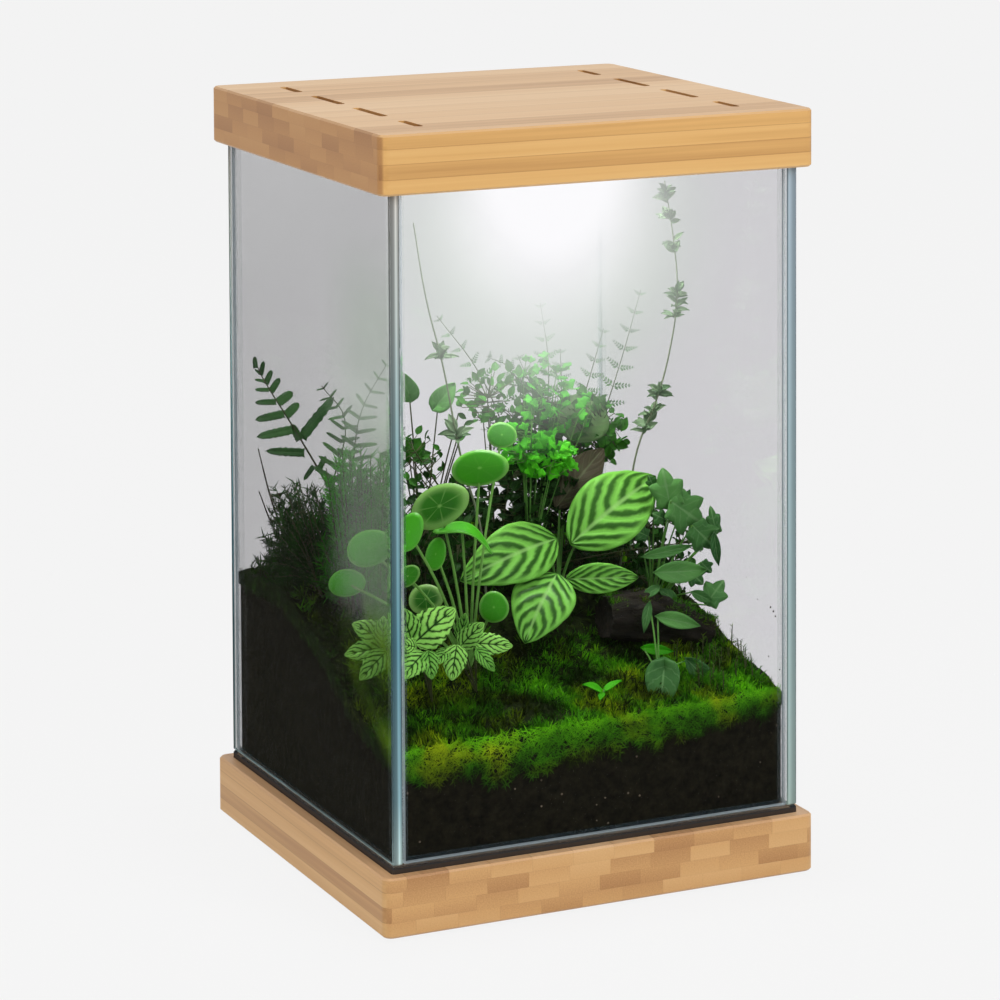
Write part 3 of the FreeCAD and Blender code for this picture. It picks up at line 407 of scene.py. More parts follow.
own_height = plus(bamboo, up, tone)
fibres = board_noise(7.0, 520.0, 520.0, own_height, 3.0)
broad = board_noise(4.0, 90.0, 160.0, own_height, 2.0)
pores = board_noise(0.0, 1500.0, 1700.0, up, 2.0)
long_grain = times(bamboo, plus(bamboo, fibres, broad), 0.5)
grain = add(bamboo, "Mix", {0: ends, 2: long_grain, 3: pores}).outputs[0]
print("bamboo group with", len(bamboo.nodes), "nodes")

# %% [markdown]
# Fine dark lines show where strips and layers are glued. They could be grooves in the mesh, but they are
# thinner than a hair, so they are a mask of the places next to the edge of a layer or a strip. Each strip
# also gets darker towards one side, because the outer wood of the cane is denser.

# %% Bamboo joints
layer_edge = apart(bamboo, layer_part, 0.5)
strip_edge = apart(bamboo, strip_part, 0.5)
layer_line = times(bamboo, between(bamboo, layer_edge, 0.455, 0.495), opposite(bamboo, on_top))
strip_line = times(bamboo, between(bamboo, strip_edge, 0.478, 0.497), larger(bamboo, ends, on_top))
joint = larger(bamboo, layer_line, strip_line)
flip = calculate(bamboo, "GREATER_THAN", strip_random.outputs["Color"], 0.5)
slope = apart(bamboo, flip, layer_part)
for label, socket in (("Tone", tone), ("Grain", grain), ("Joint", joint), ("Ends", ends), ("Shade", slope),
                      ("Top", on_top)):
    bamboo.links.new(socket, end.inputs[label])
print("bamboo group with", len(bamboo.nodes), "nodes")

# %% [markdown]
# Each board has its own colours: the lid is golden in front and browner where strips end, and the base is
# honey coloured all round. Faces that look up get a painted sheen, paler and bluer, as if they mirrored the
# pale room, which makes the top of the lid pinkish tan. One material for both would miss that, so a
# function makes one from a few colours.

# %% Boards
GLUE_TINT = (0.52, 0.42, 0.32, 1)


def board_material(name, quarter_turn, bottom, light, middle, dark, end_tint, top_sheen_tint, seed):
    """Bamboo for one board. A quarter turn lays its strips from front to back."""
    material, tree, shader = new_material(name, Roughness=0.46, Specular_IOR_Level=0.5)
    coordinates = add(tree, "TexCoord")
    turn = (0, 0, math.radians(90) if quarter_turn else 0)
    place_node = add(tree, "Mapping", {"Vector": coordinates.outputs["Object"],
                                       "Location": (seed, 0, -bottom - 0.3 * MM), "Rotation": turn})
    facing_node = add(tree, "Mapping", {"Vector": coordinates.outputs["Normal"], "Rotation": turn},
                      vector_type="VECTOR")
    strips = use_group(tree, bamboo, {"Place": place_node.outputs[0], "Facing": facing_node.outputs[0]})
    tone, grain, joint, ends, shade, top = strips.outputs
    strength = add(tree, "Mix", {0: ends, 2: 0.45, 3: 0.47}).outputs[0]
    grain_strength = add(tree, "Mix", {0: ends, 2: 0.9, 3: 0.45}).outputs[0]
    joint_strength = add(tree, "Mix", {0: ends, 2: 0.5, 3: 0.1}).outputs[0]
    value = plus(tree, 0.5, times(tree, minus(tree, tone, 0.5), strength))
    value = plus(tree, value, times(tree, minus(tree, grain, 0.5), grain_strength))
    value = minus(tree, value, times(tree, shade, ends, 0.14))
    colour = ramp(tree, value, (0.05, dark), (0.5, middle), (0.95, light))
    colour = blend(tree, ends, colour, blend(tree, 1.0, colour, (*end_tint, 1), "MULTIPLY"))
    # Painted sheen: faces that look up are made paler and bluer, as if they mirrored the pale room.
    painted_sheen = add(tree, "VectorMath", {0: colour, 1: top_sheen_tint}, operation="MULTIPLY").outputs[0]
    colour = blend(tree, top, colour, painted_sheen)
    glued = blend(tree, 1.0, colour, GLUE_TINT, "MULTIPLY")
    colour = blend(tree, times(tree, joint, joint_strength), colour, glued)
    paint(tree, shader, colour)
    bump(tree, shader, grain, 0.12, 0.4 * MM)
    return material


lid_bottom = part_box("lid_rim")[0].z
base_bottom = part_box("base_tray")[0].z
lid_bamboo = board_material(
    "lid_bamboo", False, lid_bottom, (0.86, 0.54, 0.205), (0.74, 0.415, 0.132), (0.5, 0.245, 0.066),
    (0.68, 0.58, 0.54), (1.0, 1.12, 1.75), 0.4)
base_bamboo = board_material(
    "base_bamboo", True, base_bottom, (0.8, 0.51, 0.225), (0.66, 0.37, 0.138), (0.4, 0.185, 0.06),
    (0.98, 0.97, 1.0), (1.0, 1.05, 1.4), 1.9)
finish_node("lid_board", lid_bamboo)
finish_node("lid_rim", lid_bamboo)
finish_node("base_tray", base_bamboo)
print("boards finished")

# %% [markdown]
# Four rubber pads carry the base. They show only from below or when the tray is tilted, so their CAD
# shape stays, with a plain dark rubber and a little grit.

# %% Foot pads
pad_rubber, tree, shader = new_material("pad_rubber", Roughness=0.85, Base_Color=(0.025, 0.025, 0.025, 1))
bump(tree, shader, object_noise(tree, 900.0), 0.3, 0.2 * MM)
finish_node("foot_pads", pad_rubber)
print("pads finished")

# %% [markdown]
# The cut edges of a pane are ground and look matt, while its faces are clear. Faces could be picked one
# by one, but the mesh of a CAD node stays as it is. So a small group tells from the normal whether a
# point lies on a face of the pane or on an edge.

# %% Faces and edges of a pane
side_group, start, end = new_group(
    "facing_side", [("Facing", "Vector"), ("Direction", "Vector")], [("Side", "Float")])
facing = add(side_group, "VectorMath", {0: start.outputs["Facing"], 1: start.outputs["Direction"]},
             operation="DOT_PRODUCT")
straight = calculate(side_group, "ABSOLUTE", facing.outputs["Value"])
side_group.links.new(between(side_group, straight, 0.5, 0.9), end.inputs["Side"])
print("side group")

# %% [markdown]
# Glass bends light, so each pane is a real solid with a glass shader. Lamps would need caustics to shine
# through it, which are slow and noisy, so for their rays the pane is simply clear. Damp air has left fine
# drops on the left pane near the front. They could be modelled, but at this size a rough refraction looks
# the same.

# %% Glass shader
GLASS_BENDING = 1.5
PANE_THICKNESS = 5.0 * MM
GLASS_FOOT = 0.03
GLASS_TOP = 0.33
DAMP_DEPTHS = (-0.055, -0.01)
DAMP_FOOT = (0.12, 0.15)
DAMP_TOP = (0.215, 0.25)


def glass_material(name, tint, ground=None, damp=0.0):
    """Clear glass. damp is how rough its damp part is. ground says what its edges show: the way the pane
    faces, painted colours by height, the left side of the edge and painted lines across it."""
    material, tree, shader = new_material(
        name, Roughness=0.0, IOR=GLASS_BENDING, Transmission_Weight=1.0, Base_Color=(*tint, 1))
    coordinates = add(tree, "TexCoord")
    x, y, z = split(tree, coordinates.outputs["Object"])
    pane = shader
    if damp:
        facing = split(tree, coordinates.outputs["Normal"])
        inside = calculate(tree, "GREATER_THAN", facing[0], 0.5)
        near = fading(tree, y, *DAMP_DEPTHS)
        high = between(tree, z, *DAMP_FOOT)
        low = fading(tree, z, *DAMP_TOP)
        mask = times(tree, near, inside, times(tree, high, low))
        drops = add(tree, "BsdfRefraction", {"Color": (*tint, 1), "Roughness": damp, "IOR": GLASS_BENDING})
        pane = mix_shaders(tree, mask, shader, drops)
    if ground:
        direction, heights, left, lines = ground
        side = use_group(
            tree, side_group, {"Facing": coordinates.outputs["Normal"], "Direction": direction})
        height = add(tree, "MapRange", {0: z, 1: GLASS_FOOT, 2: GLASS_TOP}).outputs[0]
        across = calculate(tree, "DIVIDE", minus(tree, x, left), PANE_THICKNESS)
        painted_by_height = ramp(tree, height, *heights)
        painted_lines = ramp(tree, across, *[(at, (share, share, share)) for at, share in lines])
        matt = add(tree, "BsdfDiffuse", {"Color": blend(tree, 1.0, painted_by_height, painted_lines, "MULTIPLY")})
        pane = mix_shaders(tree, side.outputs[0], matt, pane)
    ray = add(tree, "LightPath")
    for_lamps = larger(tree, ray.outputs["Is Shadow Ray"], ray.outputs["Is Diffuse Ray"])
    clear = add(tree, "BsdfTransparent", {"Color": (0.96, 0.97, 0.97, 1)})
    show(tree, mix_shaders(tree, for_lamps, pane, clear))
    return material


print("glass shader")

# %% [markdown]
# Seen through its edge, glass takes up the colours behind it: deep blue beside the dark planting, pale
# above it. Real light paths inside the edges come out different each time the camera moves, so these
# colours are painted on the matt edges by height as painted reflections, with thin painted highlights
# that run along the edge. The left pane is a little grey with mist.

# %% Panes
GLASS_LEFT = -0.1
RIGHT_PANE_LEFT = 0.095
# An edge is (share of the height, painted colour), and its lines are (share of the thickness, painted
# brightness)
LEFT_EDGE = ((0.0, (0.72, 0.94, 0.94)), (0.1, (0.32, 0.52, 0.58)), (0.33, (0.17, 0.38, 0.47)),
             (0.6, (0.31, 0.52, 0.56)), (0.8, (0.62, 0.7, 0.68)), (1.0, (0.76, 0.74, 0.7)))
LEFT_LINES = ((0.0, 0.55), (0.18, 0.27), (0.45, 0.41), (0.65, 1.0), (0.82, 0.5), (1.0, 0.45))
RIGHT_EDGE = ((0.0, (0.5, 0.66, 0.62)), (0.5, (0.46, 0.62, 0.66)), (1.0, (0.54, 0.66, 0.76)))
RIGHT_LINES = ((0.0, 0.9), (0.3, 0.75), (0.6, 0.5), (0.85, 0.45), (1.0, 0.3))
FRONT_EDGE = ((0.0, (0.46, 0.54, 0.58)), (1.0, (0.5, 0.56, 0.62)))
FRONT_LINES = ((0.0, 1.0), (1.0, 1.0))
# The lowest stops of the floor edge are dark: painted shade where the glass meets the wood.
FLOOR_EDGE = ((0.0, (0.07, 0.055, 0.045)), (0.0012, (0.07, 0.055, 0.045)), (0.0022, (0.03, 0.035, 0.04)),
              (0.0042, (0.04, 0.05, 0.06)), (0.0052, (0.34, 0.43, 0.46)))
FLOOR_LINES = ((0.0, 1.0), (0.2, 0.8))
front_glass = glass_material(
    "front_glass", (0.93, 0.925, 0.945), ((0, 1, 0), FRONT_EDGE, GLASS_LEFT, FRONT_LINES))
left_glass = glass_material(
    "left_glass", (0.79, 0.79, 0.79), ((1, 0, 0), LEFT_EDGE, GLASS_LEFT, LEFT_LINES), 0.12)
right_glass = glass_material(
    "right_glass", (0.97, 0.965, 0.98), ((1, 0, 0), RIGHT_EDGE, RIGHT_PANE_LEFT, RIGHT_LINES))
floor_glass = glass_material(
    "floor_glass", (0.8, 0.84, 0.86), ((0, 0, 1), FLOOR_EDGE, GLASS_LEFT, FLOOR_LINES))
for pane, glass in (("front_pane", front_glass), ("back_pane", front_glass), ("left_pane", left_glass),
                    ("right_pane", right_glass), ("bottom_pane", floor_glass)):
    finish_node(pane, glass)
print("panes finished")

# %% [markdown]
# Clear sealant fills the corners and the seam at the floor. It could be glass too, but a third thick
# layer there turns the corner black, so it is a thin cloudy film that is mostly transparent.

# %% Sealant


def seal_material(name, node, colour, alpha):
    """Clear sealant, a little cloudy."""
    material, tree, shader = new_material(name, Base_Color=(*colour, 1), Alpha=alpha)
    tree.links.new(between(tree, object_noise(tree, 160.0), 0.2, 0.9), shader.inputs["Roughness"])
    finish_node(node, material)


seal_material("corner_seal", "corner_seams", (0.3, 0.38, 0.4), 0.05)
seal_material("floor_seal", "floor_seam", (0.06, 0.1, 0.12), 0.15)
print("sealant finished")

# %% [markdown]
# The lamp sits in the lid: a white lacquered tray, a pale board with yellowish chips, an opal sheet that
# glows, and a black inlet at the back. Their CAD shapes are true, so they only need plain finishes. A
# perfectly even plastic looks false, so one function adds a fine grain to each.

# %% Lamp parts


def plain_finish(name, node, colour, grain_scale, **values):
    """A moulded or lacquered finish with fine relief."""
    material, tree, shader = new_material(name, Base_Color=(*colour, 1), **values)
    fine_grain = object_noise(tree, grain_scale, 3.0)
    worn = blend(
        tree, times(tree, fine_grain, 0.16), (*colour, 1), (*[channel * 0.6 for channel in colour], 1))
    paint(tree, shader, worn)
    bump(tree, shader, fine_grain, 0.08, 0.1 * MM)
    finish_node(node, material)


plain_finish("lamp_lacquer", "lamp_tray", (0.85, 0.85, 0.84), 700.0, Roughness=0.4)
plain_finish("lamp_board_mask", "lamp_board", (0.86, 0.88, 0.86), 900.0, Roughness=0.5)
plain_finish("chip_resin", "lamp_chips", (0.9, 0.72, 0.2), 900.0, Roughness=0.3)
plain_finish("terminal_plastic", "terminal_block", (0.85, 0.85, 0.82), 900.0, Roughness=0.5)
plain_finish("lead_jacket", "lamp_lead", (0.03, 0.03, 0.03), 700.0, Roughness=0.5)
plain_finish("inlet_plastic", "power_inlet", (0.02, 0.02, 0.02), 1200.0, Roughness=0.35)
screw_steel, tree, shader = new_material("screw_steel", Metallic=1.0, Base_Color=(0.6, 0.6, 0.6, 1))
tree.links.new(between(tree, object_noise(tree, 1500.0), -0.6, 1.6), shader.inputs["Roughness"])
plain_finish("opal_sheet", "lamp_diffuser", (0.95, 0.96, 0.97), 500.0, Roughness=0.6,
             Emission_Color=(0.97, 1.0, 0.97, 1), Emission_Strength=2.0)
print("lamp parts finished")

# %% [markdown]
# Eight screws hold the flange of the tray to the lid. They are too small for the frame, so they are added
# here. Threads are hidden in the wood, so each is only a flat head, one cylinder with a bevelled rim,
# made in a loop.

# %% Lamp screws
SCREWS = 8
SCREW_REACH = 50.0 * MM
HEAD_RADIUS = 1.9 * MM
HEAD_HEIGHT = 0.9 * MM


def set_mode(mode):
    """Goes into edit mode or back to object mode."""
    bpy.ops.object.mode_set(mode=mode)


def held(value, low, high):
    """A value kept between two limits."""
    return min(max(value, low), high)


flange_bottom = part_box("lamp_tray")[0].z
for number in range(SCREWS):
    angle = math.tau * number / SCREWS
    shares = [held(1.5 * math.cos(angle), -1, 1), held(1.5 * math.sin(angle), -1, 1)]
    corner = Vector((*shares, 0)) * SCREW_REACH
    bpy.ops.object.select_all(action="DESELECT")
    bpy.ops.mesh.primitive_cylinder_add(vertices=24, radius=HEAD_RADIUS, depth=HEAD_HEIGHT)
    screw = bpy.context.object
    screw.name = "tray_screw_%d" % (number + 1)
    set_mode("EDIT")
    bpy.ops.mesh.select_all(action="SELECT")
    bpy.ops.mesh.bevel(offset=0.2 * MM, segments=2)
    bpy.ops.transform.translate(value=corner + Vector((0, 0, flange_bottom - HEAD_HEIGHT / 2)))
    set_mode("OBJECT")
    bpy.ops.object.shade_smooth_by_angle(angle=math.radians(40))
    screw.data.materials.append(screw_steel)
    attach(screw, "lid")
print("lamp screws", SCREWS)

# %% [markdown]
# Every leaf needs a place, and the photograph shows where. Measuring each in metres would be slow, so
# `seen_at` follows a line of sight through a place in the picture, in thousandths of its side, to a depth
# in the tank: -1 is the front, 1 the back. The panes shift that line sideways, the left one more than the
# front one.

# %% Lines of sight
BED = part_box("soil_bed")[1].x
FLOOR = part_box("soil_bed")[0].z
WALL = 0.3
MOSS = 7.0 * MM
SENSOR_WIDTH = 36
PICTURE_SIDE = 1000
PICTURE_MIDDLE = PICTURE_SIDE / 2
PICTURE_SCALE = LENS / SENSOR_WIDTH * PICTURE_SIDE
NEAR_CORNER = 395
LEFT_PANE_SHIFT = 3.4 * MM
FRONT_PANE_SHIFT = -0.9 * MM
FRONT = Vector((-0.45, -0.85, 0.3)).normalized()
FRONT_UP = Vector((-0.3, -0.6, 0.75)).normalized()
SKYWARD = Vector((-0.15, -0.3, 0.95)).normalized()
UP = Vector((0, 0, 1))


def place(shares):
    """A point inside the tank from shares of its half width, twice, and of the height of its walls."""
    return Vector((shares[0] * BED, shares[1] * BED, FLOOR + shares[2] * WALL))


def seen_at(across, down, depth):
    """The point inside the tank that the picture shows at a place and a depth."""
    sideways = (across - PICTURE_MIDDLE) / PICTURE_SCALE
    downwards = (down - PICTURE_MIDDLE) / PICTURE_SCALE
    ray = AHEAD + PICTURE_RIGHT * sideways - PICTURE_TOP * downwards
    point = CAMERA_PLACE + ray * ((depth * BED - CAMERA_PLACE.y) / ray.y)
    point.x += LEFT_PANE_SHIFT if across < NEAR_CORNER else FRONT_PANE_SHIFT
    point.x = held(point.x, -0.98 * BED, 0.98 * BED)
    return point


print("bed", round(BED, 4), "floor", round(FLOOR, 4))

# %% [markdown]
# The soil rolls up towards the back, and the plants stand in it. The CAD solid could be searched for its
# top, but the same few levels give it directly: they span triangles, and a ray that drops from above
# finds the moss and its slope.

# %% Rolling ground
GROUND_X = (-1.0, -0.42, 0.1, 0.63, 1.0)
GROUND_Y = (-1.0, -0.58, -0.1, 0.42, 1.0)
# Rows of levels from left to right, each from front to back
GROUND_LEVELS = (
    (0.138, 0.162, 0.238, 0.282, 0.275), (0.145, 0.182, 0.262, 0.322, 0.315),
    (0.148, 0.188, 0.282, 0.342, 0.328), (0.152, 0.188, 0.248, 0.302, 0.295),
    (0.158, 0.188, 0.228, 0.262, 0.268))
ground_points = [place((x, y, level)) + UP * MOSS for x, levels in zip(GROUND_X, GROUND_LEVELS)
                 for y, level in zip(GROUND_Y, levels)]
ground_faces = []
ROWS = len(GROUND_Y)
for column in range(len(GROUND_X) - 1):
    for row in range(ROWS - 1):
        near = column * ROWS + row
        ground_faces += [(near, near + ROWS, near + ROWS + 1), (near, near + ROWS + 1, near + 1)]
moss_surface = BVHTree.FromPolygons(ground_points, ground_faces)
ABOVE_TANK = 0.36


def drop(x, y):
    """The point and the normal of the top of the moss below a place in metres."""
    limit = BED - 0.05 * MM
    # A hair off the place, so that the ray never falls between two triangles
    start = Vector((held(x, -limit, limit) + 0.003 * MM, held(y, -limit, limit) + 0.007 * MM, ABOVE_TANK))
    return moss_surface.ray_cast(start, Vector((0, 0, -1)))[:2]


def on_moss(x_share, y_share):
    """A point on the moss, from shares."""
    return drop(x_share * BED * 0.999, y_share * BED * 0.999)[0]


print("moss in the middle at", round(on_moss(0, 0).z, 4))

# %% [markdown]
# Nothing that grows is even. Leaves could all be typed in, but there are thousands, so many are placed by
# chance, from generators with a fixed seed: the same plant grows in each run.

# %% Chance


def random_vector(dice, reach):
    """A vector whose three parts are random, up to a reach either way."""
    return Vector([dice.uniform(-reach, reach) for _ in range(3)])


def keep_inside(point):
    """Moves a point sideways where it would touch a side pane."""
    point.x = held(point.x, -0.985 * BED, 0.985 * BED)


print("chance is seeded")

# %% [markdown]
# A leaf is shaped from a flat grid or a disc by moving its points. With no hand on the mouse, a rule
# moves them in edit mode, and afterwards doubles are merged and normals are turned outwards. The finished
# mesh is kept as a template.

# %% Shaping helpers


def start_fresh():
    """Leaves edit mode and deselects everything."""
    if bpy.context.object and bpy.context.object.mode != "OBJECT":
        set_mode("OBJECT")
    bpy.ops.object.select_all(action="DESELECT")


def move_points(obj, rule):
    """Moves every point of an object's mesh by a rule, in edit mode."""
    set_mode("EDIT")
    mesh = bmesh.from_edit_mesh(obj.data)
    for vertex in mesh.verts:
        vertex.co = rule(vertex.co)
    bmesh.update_edit_mesh(obj.data)
    bpy.ops.mesh.remove_doubles(threshold=1e-5)
    bpy.ops.mesh.normals_make_consistent(inside=False)
    set_mode("OBJECT")


def thicken(obj, thickness):
    """Gives a sheet a thickness, and applies it."""
    modifier = obj.modifiers.new("thickness", "SOLIDIFY")
    modifier.thickness = thickness
    modifier.offset = 0
    bpy.ops.object.modifier_apply(modifier=modifier.name)


def as_template(obj, material):
    """The points, faces and texture places of an object, kept for copying. The object goes."""
    mesh = obj.data
    points = np.empty(len(mesh.vertices) * 3)
    mesh.vertices.foreach_get("co", points)
    uvs = np.zeros(len(mesh.loops) * 2)
    if mesh.uv_layers.active:
        mesh.uv_layers.active.data.foreach_get("uv", uvs)
    faces = [tuple(polygon.vertices) for polygon in mesh.polygons]
    bpy.data.objects.remove(obj)
    return {"points": points.reshape(-1, 3), "faces": faces, "uvs": uvs.reshape(-1, 2),
            "material": material}


print("shaping helpers ready")

# %% [markdown]
# Leaves of a plant are much alike, so a leaf is modelled once, one unit long, and then copied. A long
# leaf starts from a grid, which gives an even net along and across, and a round one from a disc, so that
# no corner is left at its rim.

# %% Leaf templates


def shape_leaf(material, cells, outline, lift, shift=None, thickness=0.0):
    """A unit leaf along +X that faces +Z. outline gives its half width and lift its height, and shift moves
    its points lengthways."""
    start_fresh()
    bpy.ops.mesh.primitive_grid_add(x_subdivisions=cells[0], y_subdivisions=cells[1], size=1)
    leaf = bpy.context.object

    def rule(point):
        along = point.x + 0.5
        side = point.y * 2
        reach = along + (shift(along, side) if shift else 0)
        return Vector((reach, side * max(outline(along), 0.004), lift(along, side)))

    move_points(leaf, rule)
    if thickness:
        thicken(leaf, thickness)
    return as_template(leaf, material)


def shape_round(material, corners, cuts, radius, lift, thickness=0.0):
    """A unit leaf round its middle that faces +Z. radius gives its reach, and lift its height."""
    start_fresh()
    bpy.ops.mesh.primitive_circle_add(vertices=corners, radius=1, fill_type="TRIFAN")
    leaf = bpy.context.object
    set_mode("EDIT")
    bpy.ops.mesh.subdivide(number_cuts=cuts)
    set_mode("OBJECT")

    def rule(point):
        angle = math.atan2(point.y, point.x)
        reach = point.xy.length
        spread = reach * radius(angle)
        return Vector((spread * math.cos(angle), spread * math.sin(angle), lift(reach, angle)))

    move_points(leaf, rule)
    if thickness:
        thicken(leaf, thickness)
    return as_template(leaf, material)


print("templates ready")

# %% [markdown]
# Each copy is laid in the tank by a matrix. Angles would do, but it is easier to say where a leaf starts,
# where it ends and what it faces, and to let three axes follow from that.

# %% Laying a leaf


def lay_leaf(base, tip, facing, width=1.0):
    """Places a unit leaf so that it runs from base to tip and faces a way."""
    ahead = Vector(tip) - Vector(base)
    length = ahead.length
    x_axis = ahead.normalized()
    y_axis = Vector(facing).cross(x_axis).normalized()
    z_axis = x_axis.cross(y_axis)
    turn = Matrix((x_axis * length, y_axis * length * width, z_axis * length)).transposed()
    return Matrix.Translation(base) @ turn.to_4x4()


def lay_round(centre, radii, facing, tilt=0.0):
    """Places a unit round leaf, with radii along and across a line that is tilted in the picture."""
    z_axis = Vector(facing).normalized()
    x_axis = PICTURE_RIGHT.copy()
    x_axis.rotate(Matrix.Rotation(math.radians(tilt), 3, z_axis))
    x_axis = (x_axis - z_axis * x_axis.dot(z_axis)).normalized()
    y_axis = z_axis.cross(x_axis)
    turn = Matrix((x_axis * radii[0], y_axis * radii[1], z_axis * radii[0])).transposed()
    return Matrix.Translation(centre) @ turn.to_4x4()


print("laying ready")

# %% [markdown]
# Stalks are thin round tubes that bend smoothly. They could be chains of cylinders, but these show their
# joints. A curve with a round bevel has none, and can taper, so it is drawn first and then made a mesh.

# %% Stems


def stems(lines, diameter, material, sides=1, steps=5):
    """Round stems as one template. A line is (points, share of the diameter at its end)."""
    start_fresh()
    curve = bpy.data.curves.new("stems", "CURVE")
    curve.dimensions = "3D"
    curve.bevel_depth = diameter / 2
    curve.bevel_resolution = sides
    curve.resolution_u = steps
    curve.use_fill_caps = True
    for points, end_share in lines:
        spline = curve.splines.new("BEZIER")
        spline.bezier_points.add(len(points) - 1)
        for index, (knot, point) in enumerate(zip(spline.bezier_points, points)):
            knot.co = point
            knot.handle_left_type = knot.handle_right_type = "AUTO"
            knot.radius = 1 + (end_share - 1) * index / (len(points) - 1)
    holder = bpy.data.objects.new("stems", curve)
    put_in_scene(holder)
    holder.select_set(True)
    bpy.context.view_layer.objects.active = holder
    bpy.ops.object.convert(target="MESH")
    return as_template(bpy.context.object, material)


print("stems ready")

# %% [markdown]
# A plant of many copies is one piece, as it is one thing in the hand. An operator could join them, but
# for thousands that takes minutes. So `joined` sets the points of all copies together, and `gather` makes
# one mesh of them, with a tone for each copy that the finish reads.

# %% Gathering a piece


def joined(copies):
    """Placed copies as one template. A copy is (template, matrix or None, tone from 0 to 1)."""
    points, faces, uvs, tones, finishes = [], [], [], [], []
    count = 0
    for template, matrix, tone in copies:
        placed = template["points"]
        if matrix is not None:
            placed = placed @ np.array(matrix.to_3x3()).T + np.array(matrix.translation)
        points.append(placed)
        faces += [tuple(corner + count for corner in face) for face in template["faces"]]
        uvs.append(template["uvs"])
        tones += [tone] * len(template["faces"])
        finishes += [template["material"]] * len(template["faces"])
        count += len(placed)
    return {"points": np.concatenate(points), "faces": faces, "uvs": np.concatenate(uvs),
            "tones": tones, "finishes": finishes, "material": finishes[0]}


def gather(name, copies, replaced=()):
    """One piece made of placed copies."""
    whole = joined(copies)
    materials = list(dict.fromkeys(whole["finishes"]))
    mesh = bpy.data.meshes.new(name)
    mesh.from_pydata(whole["points"], [], whole["faces"])
    mesh.uv_layers.new(name="UVMap").data.foreach_set("uv", whole["uvs"].ravel())
    mesh.attributes.new("tone", "FLOAT", "FACE").data.foreach_set("value", whole["tones"])
    for material in materials:
        mesh.materials.append(material)
    mesh.polygons.foreach_set("material_index", [materials.index(finish) for finish in whole["finishes"]])
    mesh.polygons.foreach_set("use_smooth", [True] * len(whole["faces"]))
    mesh.update()
    piece = bpy.data.objects.new(name, mesh)
    put_in_scene(piece)
    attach(piece, "tank")
    if replaced:
        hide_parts(*replaced)
    mesh.calc_loop_triangles()
    print(name, len(mesh.loop_triangles), "triangles")
    return piece


print("leaf helpers ready")

# %% [markdown]
# Veins make a leaf. They could be painted, but each leaf has its own size, so they are worked out from
# the place on a unit leaf: the midrib in the middle, and side veins that lean towards the tip and wander
# a little. One group gives them to all leaf finishes.

# %% Leaf veins
veins, start, end = new_group(
    "leaf_veins", [("Count", "Float"), ("Lean", "Float"), ("Fineness", "Float")],
    [("Midrib", "Float"), ("Vein", "Float"), ("Band", "Float"), ("Reach", "Float")])
texture_place = add(veins, "UVMap", uv_map="UVMap").outputs[0]
along, across, _ = split(veins, texture_place)
reach = times(veins, apart(veins, across, 0.5), 2.0)
bent = times(veins, calculate(veins, "POWER", reach, 1.25), start.outputs["Lean"])
wave = times(veins, minus(veins, along, bent), start.outputs["Count"])
wobble = add(veins, "TexNoise", {"Vector": texture_place, "Scale": 7.0})
wave = plus(veins, wave, times(veins, wobble.outputs[0], 0.6))
beside = apart(veins, calculate(veins, "FRACT", wave), 0.5)
for label, socket in (("Midrib", fading(veins, reach, 0.015, 0.1)),
                      ("Vein", between(veins, beside, start.outputs["Fineness"], 0.49)),
                      ("Band", between(veins, beside, 0.08, 0.4)),
                      ("Reach", reach)):
    veins.links.new(socket, end.inputs[label])
print("veins group")

# %% [markdown]
# A thin leaf glows when light falls on its back. Full scattering under the surface would be slow for so
# many leaves, so each finish mixes in some light that comes straight through. Its colour lies between two
# greens, by the tone of the copy.

# %% Leaf light


def through_leaf(tree, shader, colour, glow):
    """Mixes in light that comes through from behind."""
    through = add(tree, "BsdfTranslucent", {"Color": colour})
    show(tree, mix_shaders(tree, glow, shader, through))


def uneven_tone(tree, scale, strength):
    """The tone of the copy, made uneven."""
    tone = add(tree, "Attribute", attribute_name="tone").outputs["Fac"]
    return plus(tree, tone, times(tree, minus(tree, object_noise(tree, scale), 0.5), strength))


def leaf_finish(name, low, high, rib, count=6.0, lean=0.3, vein=0.3, shine=0.45, glow=0.28, midrib=0.7,
                fineness=0.38, bands=None):
    """A leaf between two colours by its tone, with a rib, veins and perhaps two bands."""
    material, tree, shader = new_material(name, Roughness=shine, Specular_IOR_Level=0.15)
    lines = use_group(tree, veins, {"Count": count, "Lean": lean, "Fineness": fineness})
    colour = ramp(tree, uneven_tone(tree, 120.0, 0.6), (0.0, low), (1.0, high))
    if bands:
        striped = blend(tree, lines.outputs["Band"], (*bands[0], 1), (*bands[1], 1))
        striped = blend(tree, between(tree, lines.outputs["Reach"], 0.72, 0.97), striped, (*bands[1], 1))
        colour = blend(tree, 0.8, colour, striped)
    colour = blend(tree, times(tree, lines.outputs["Vein"], vein), colour, (*rib, 1))
    colour = blend(tree, times(tree, lines.outputs["Midrib"], midrib), colour, (*rib, 1))
    paint(tree, shader, colour)
    bump(tree, shader, plus(tree, lines.outputs["Vein"], lines.outputs["Midrib"]), 0.35, -0.25 * MM)
    through_leaf(tree, shader, colour, glow)
    return material


print("leaf light ready")

# %% [markdown]
# Each kind of plant has its own greens, from the dark bush to the pale rosettes. One green for all would
# look like plastic. The values are low end, high end, rib, then how many veins and how they show.

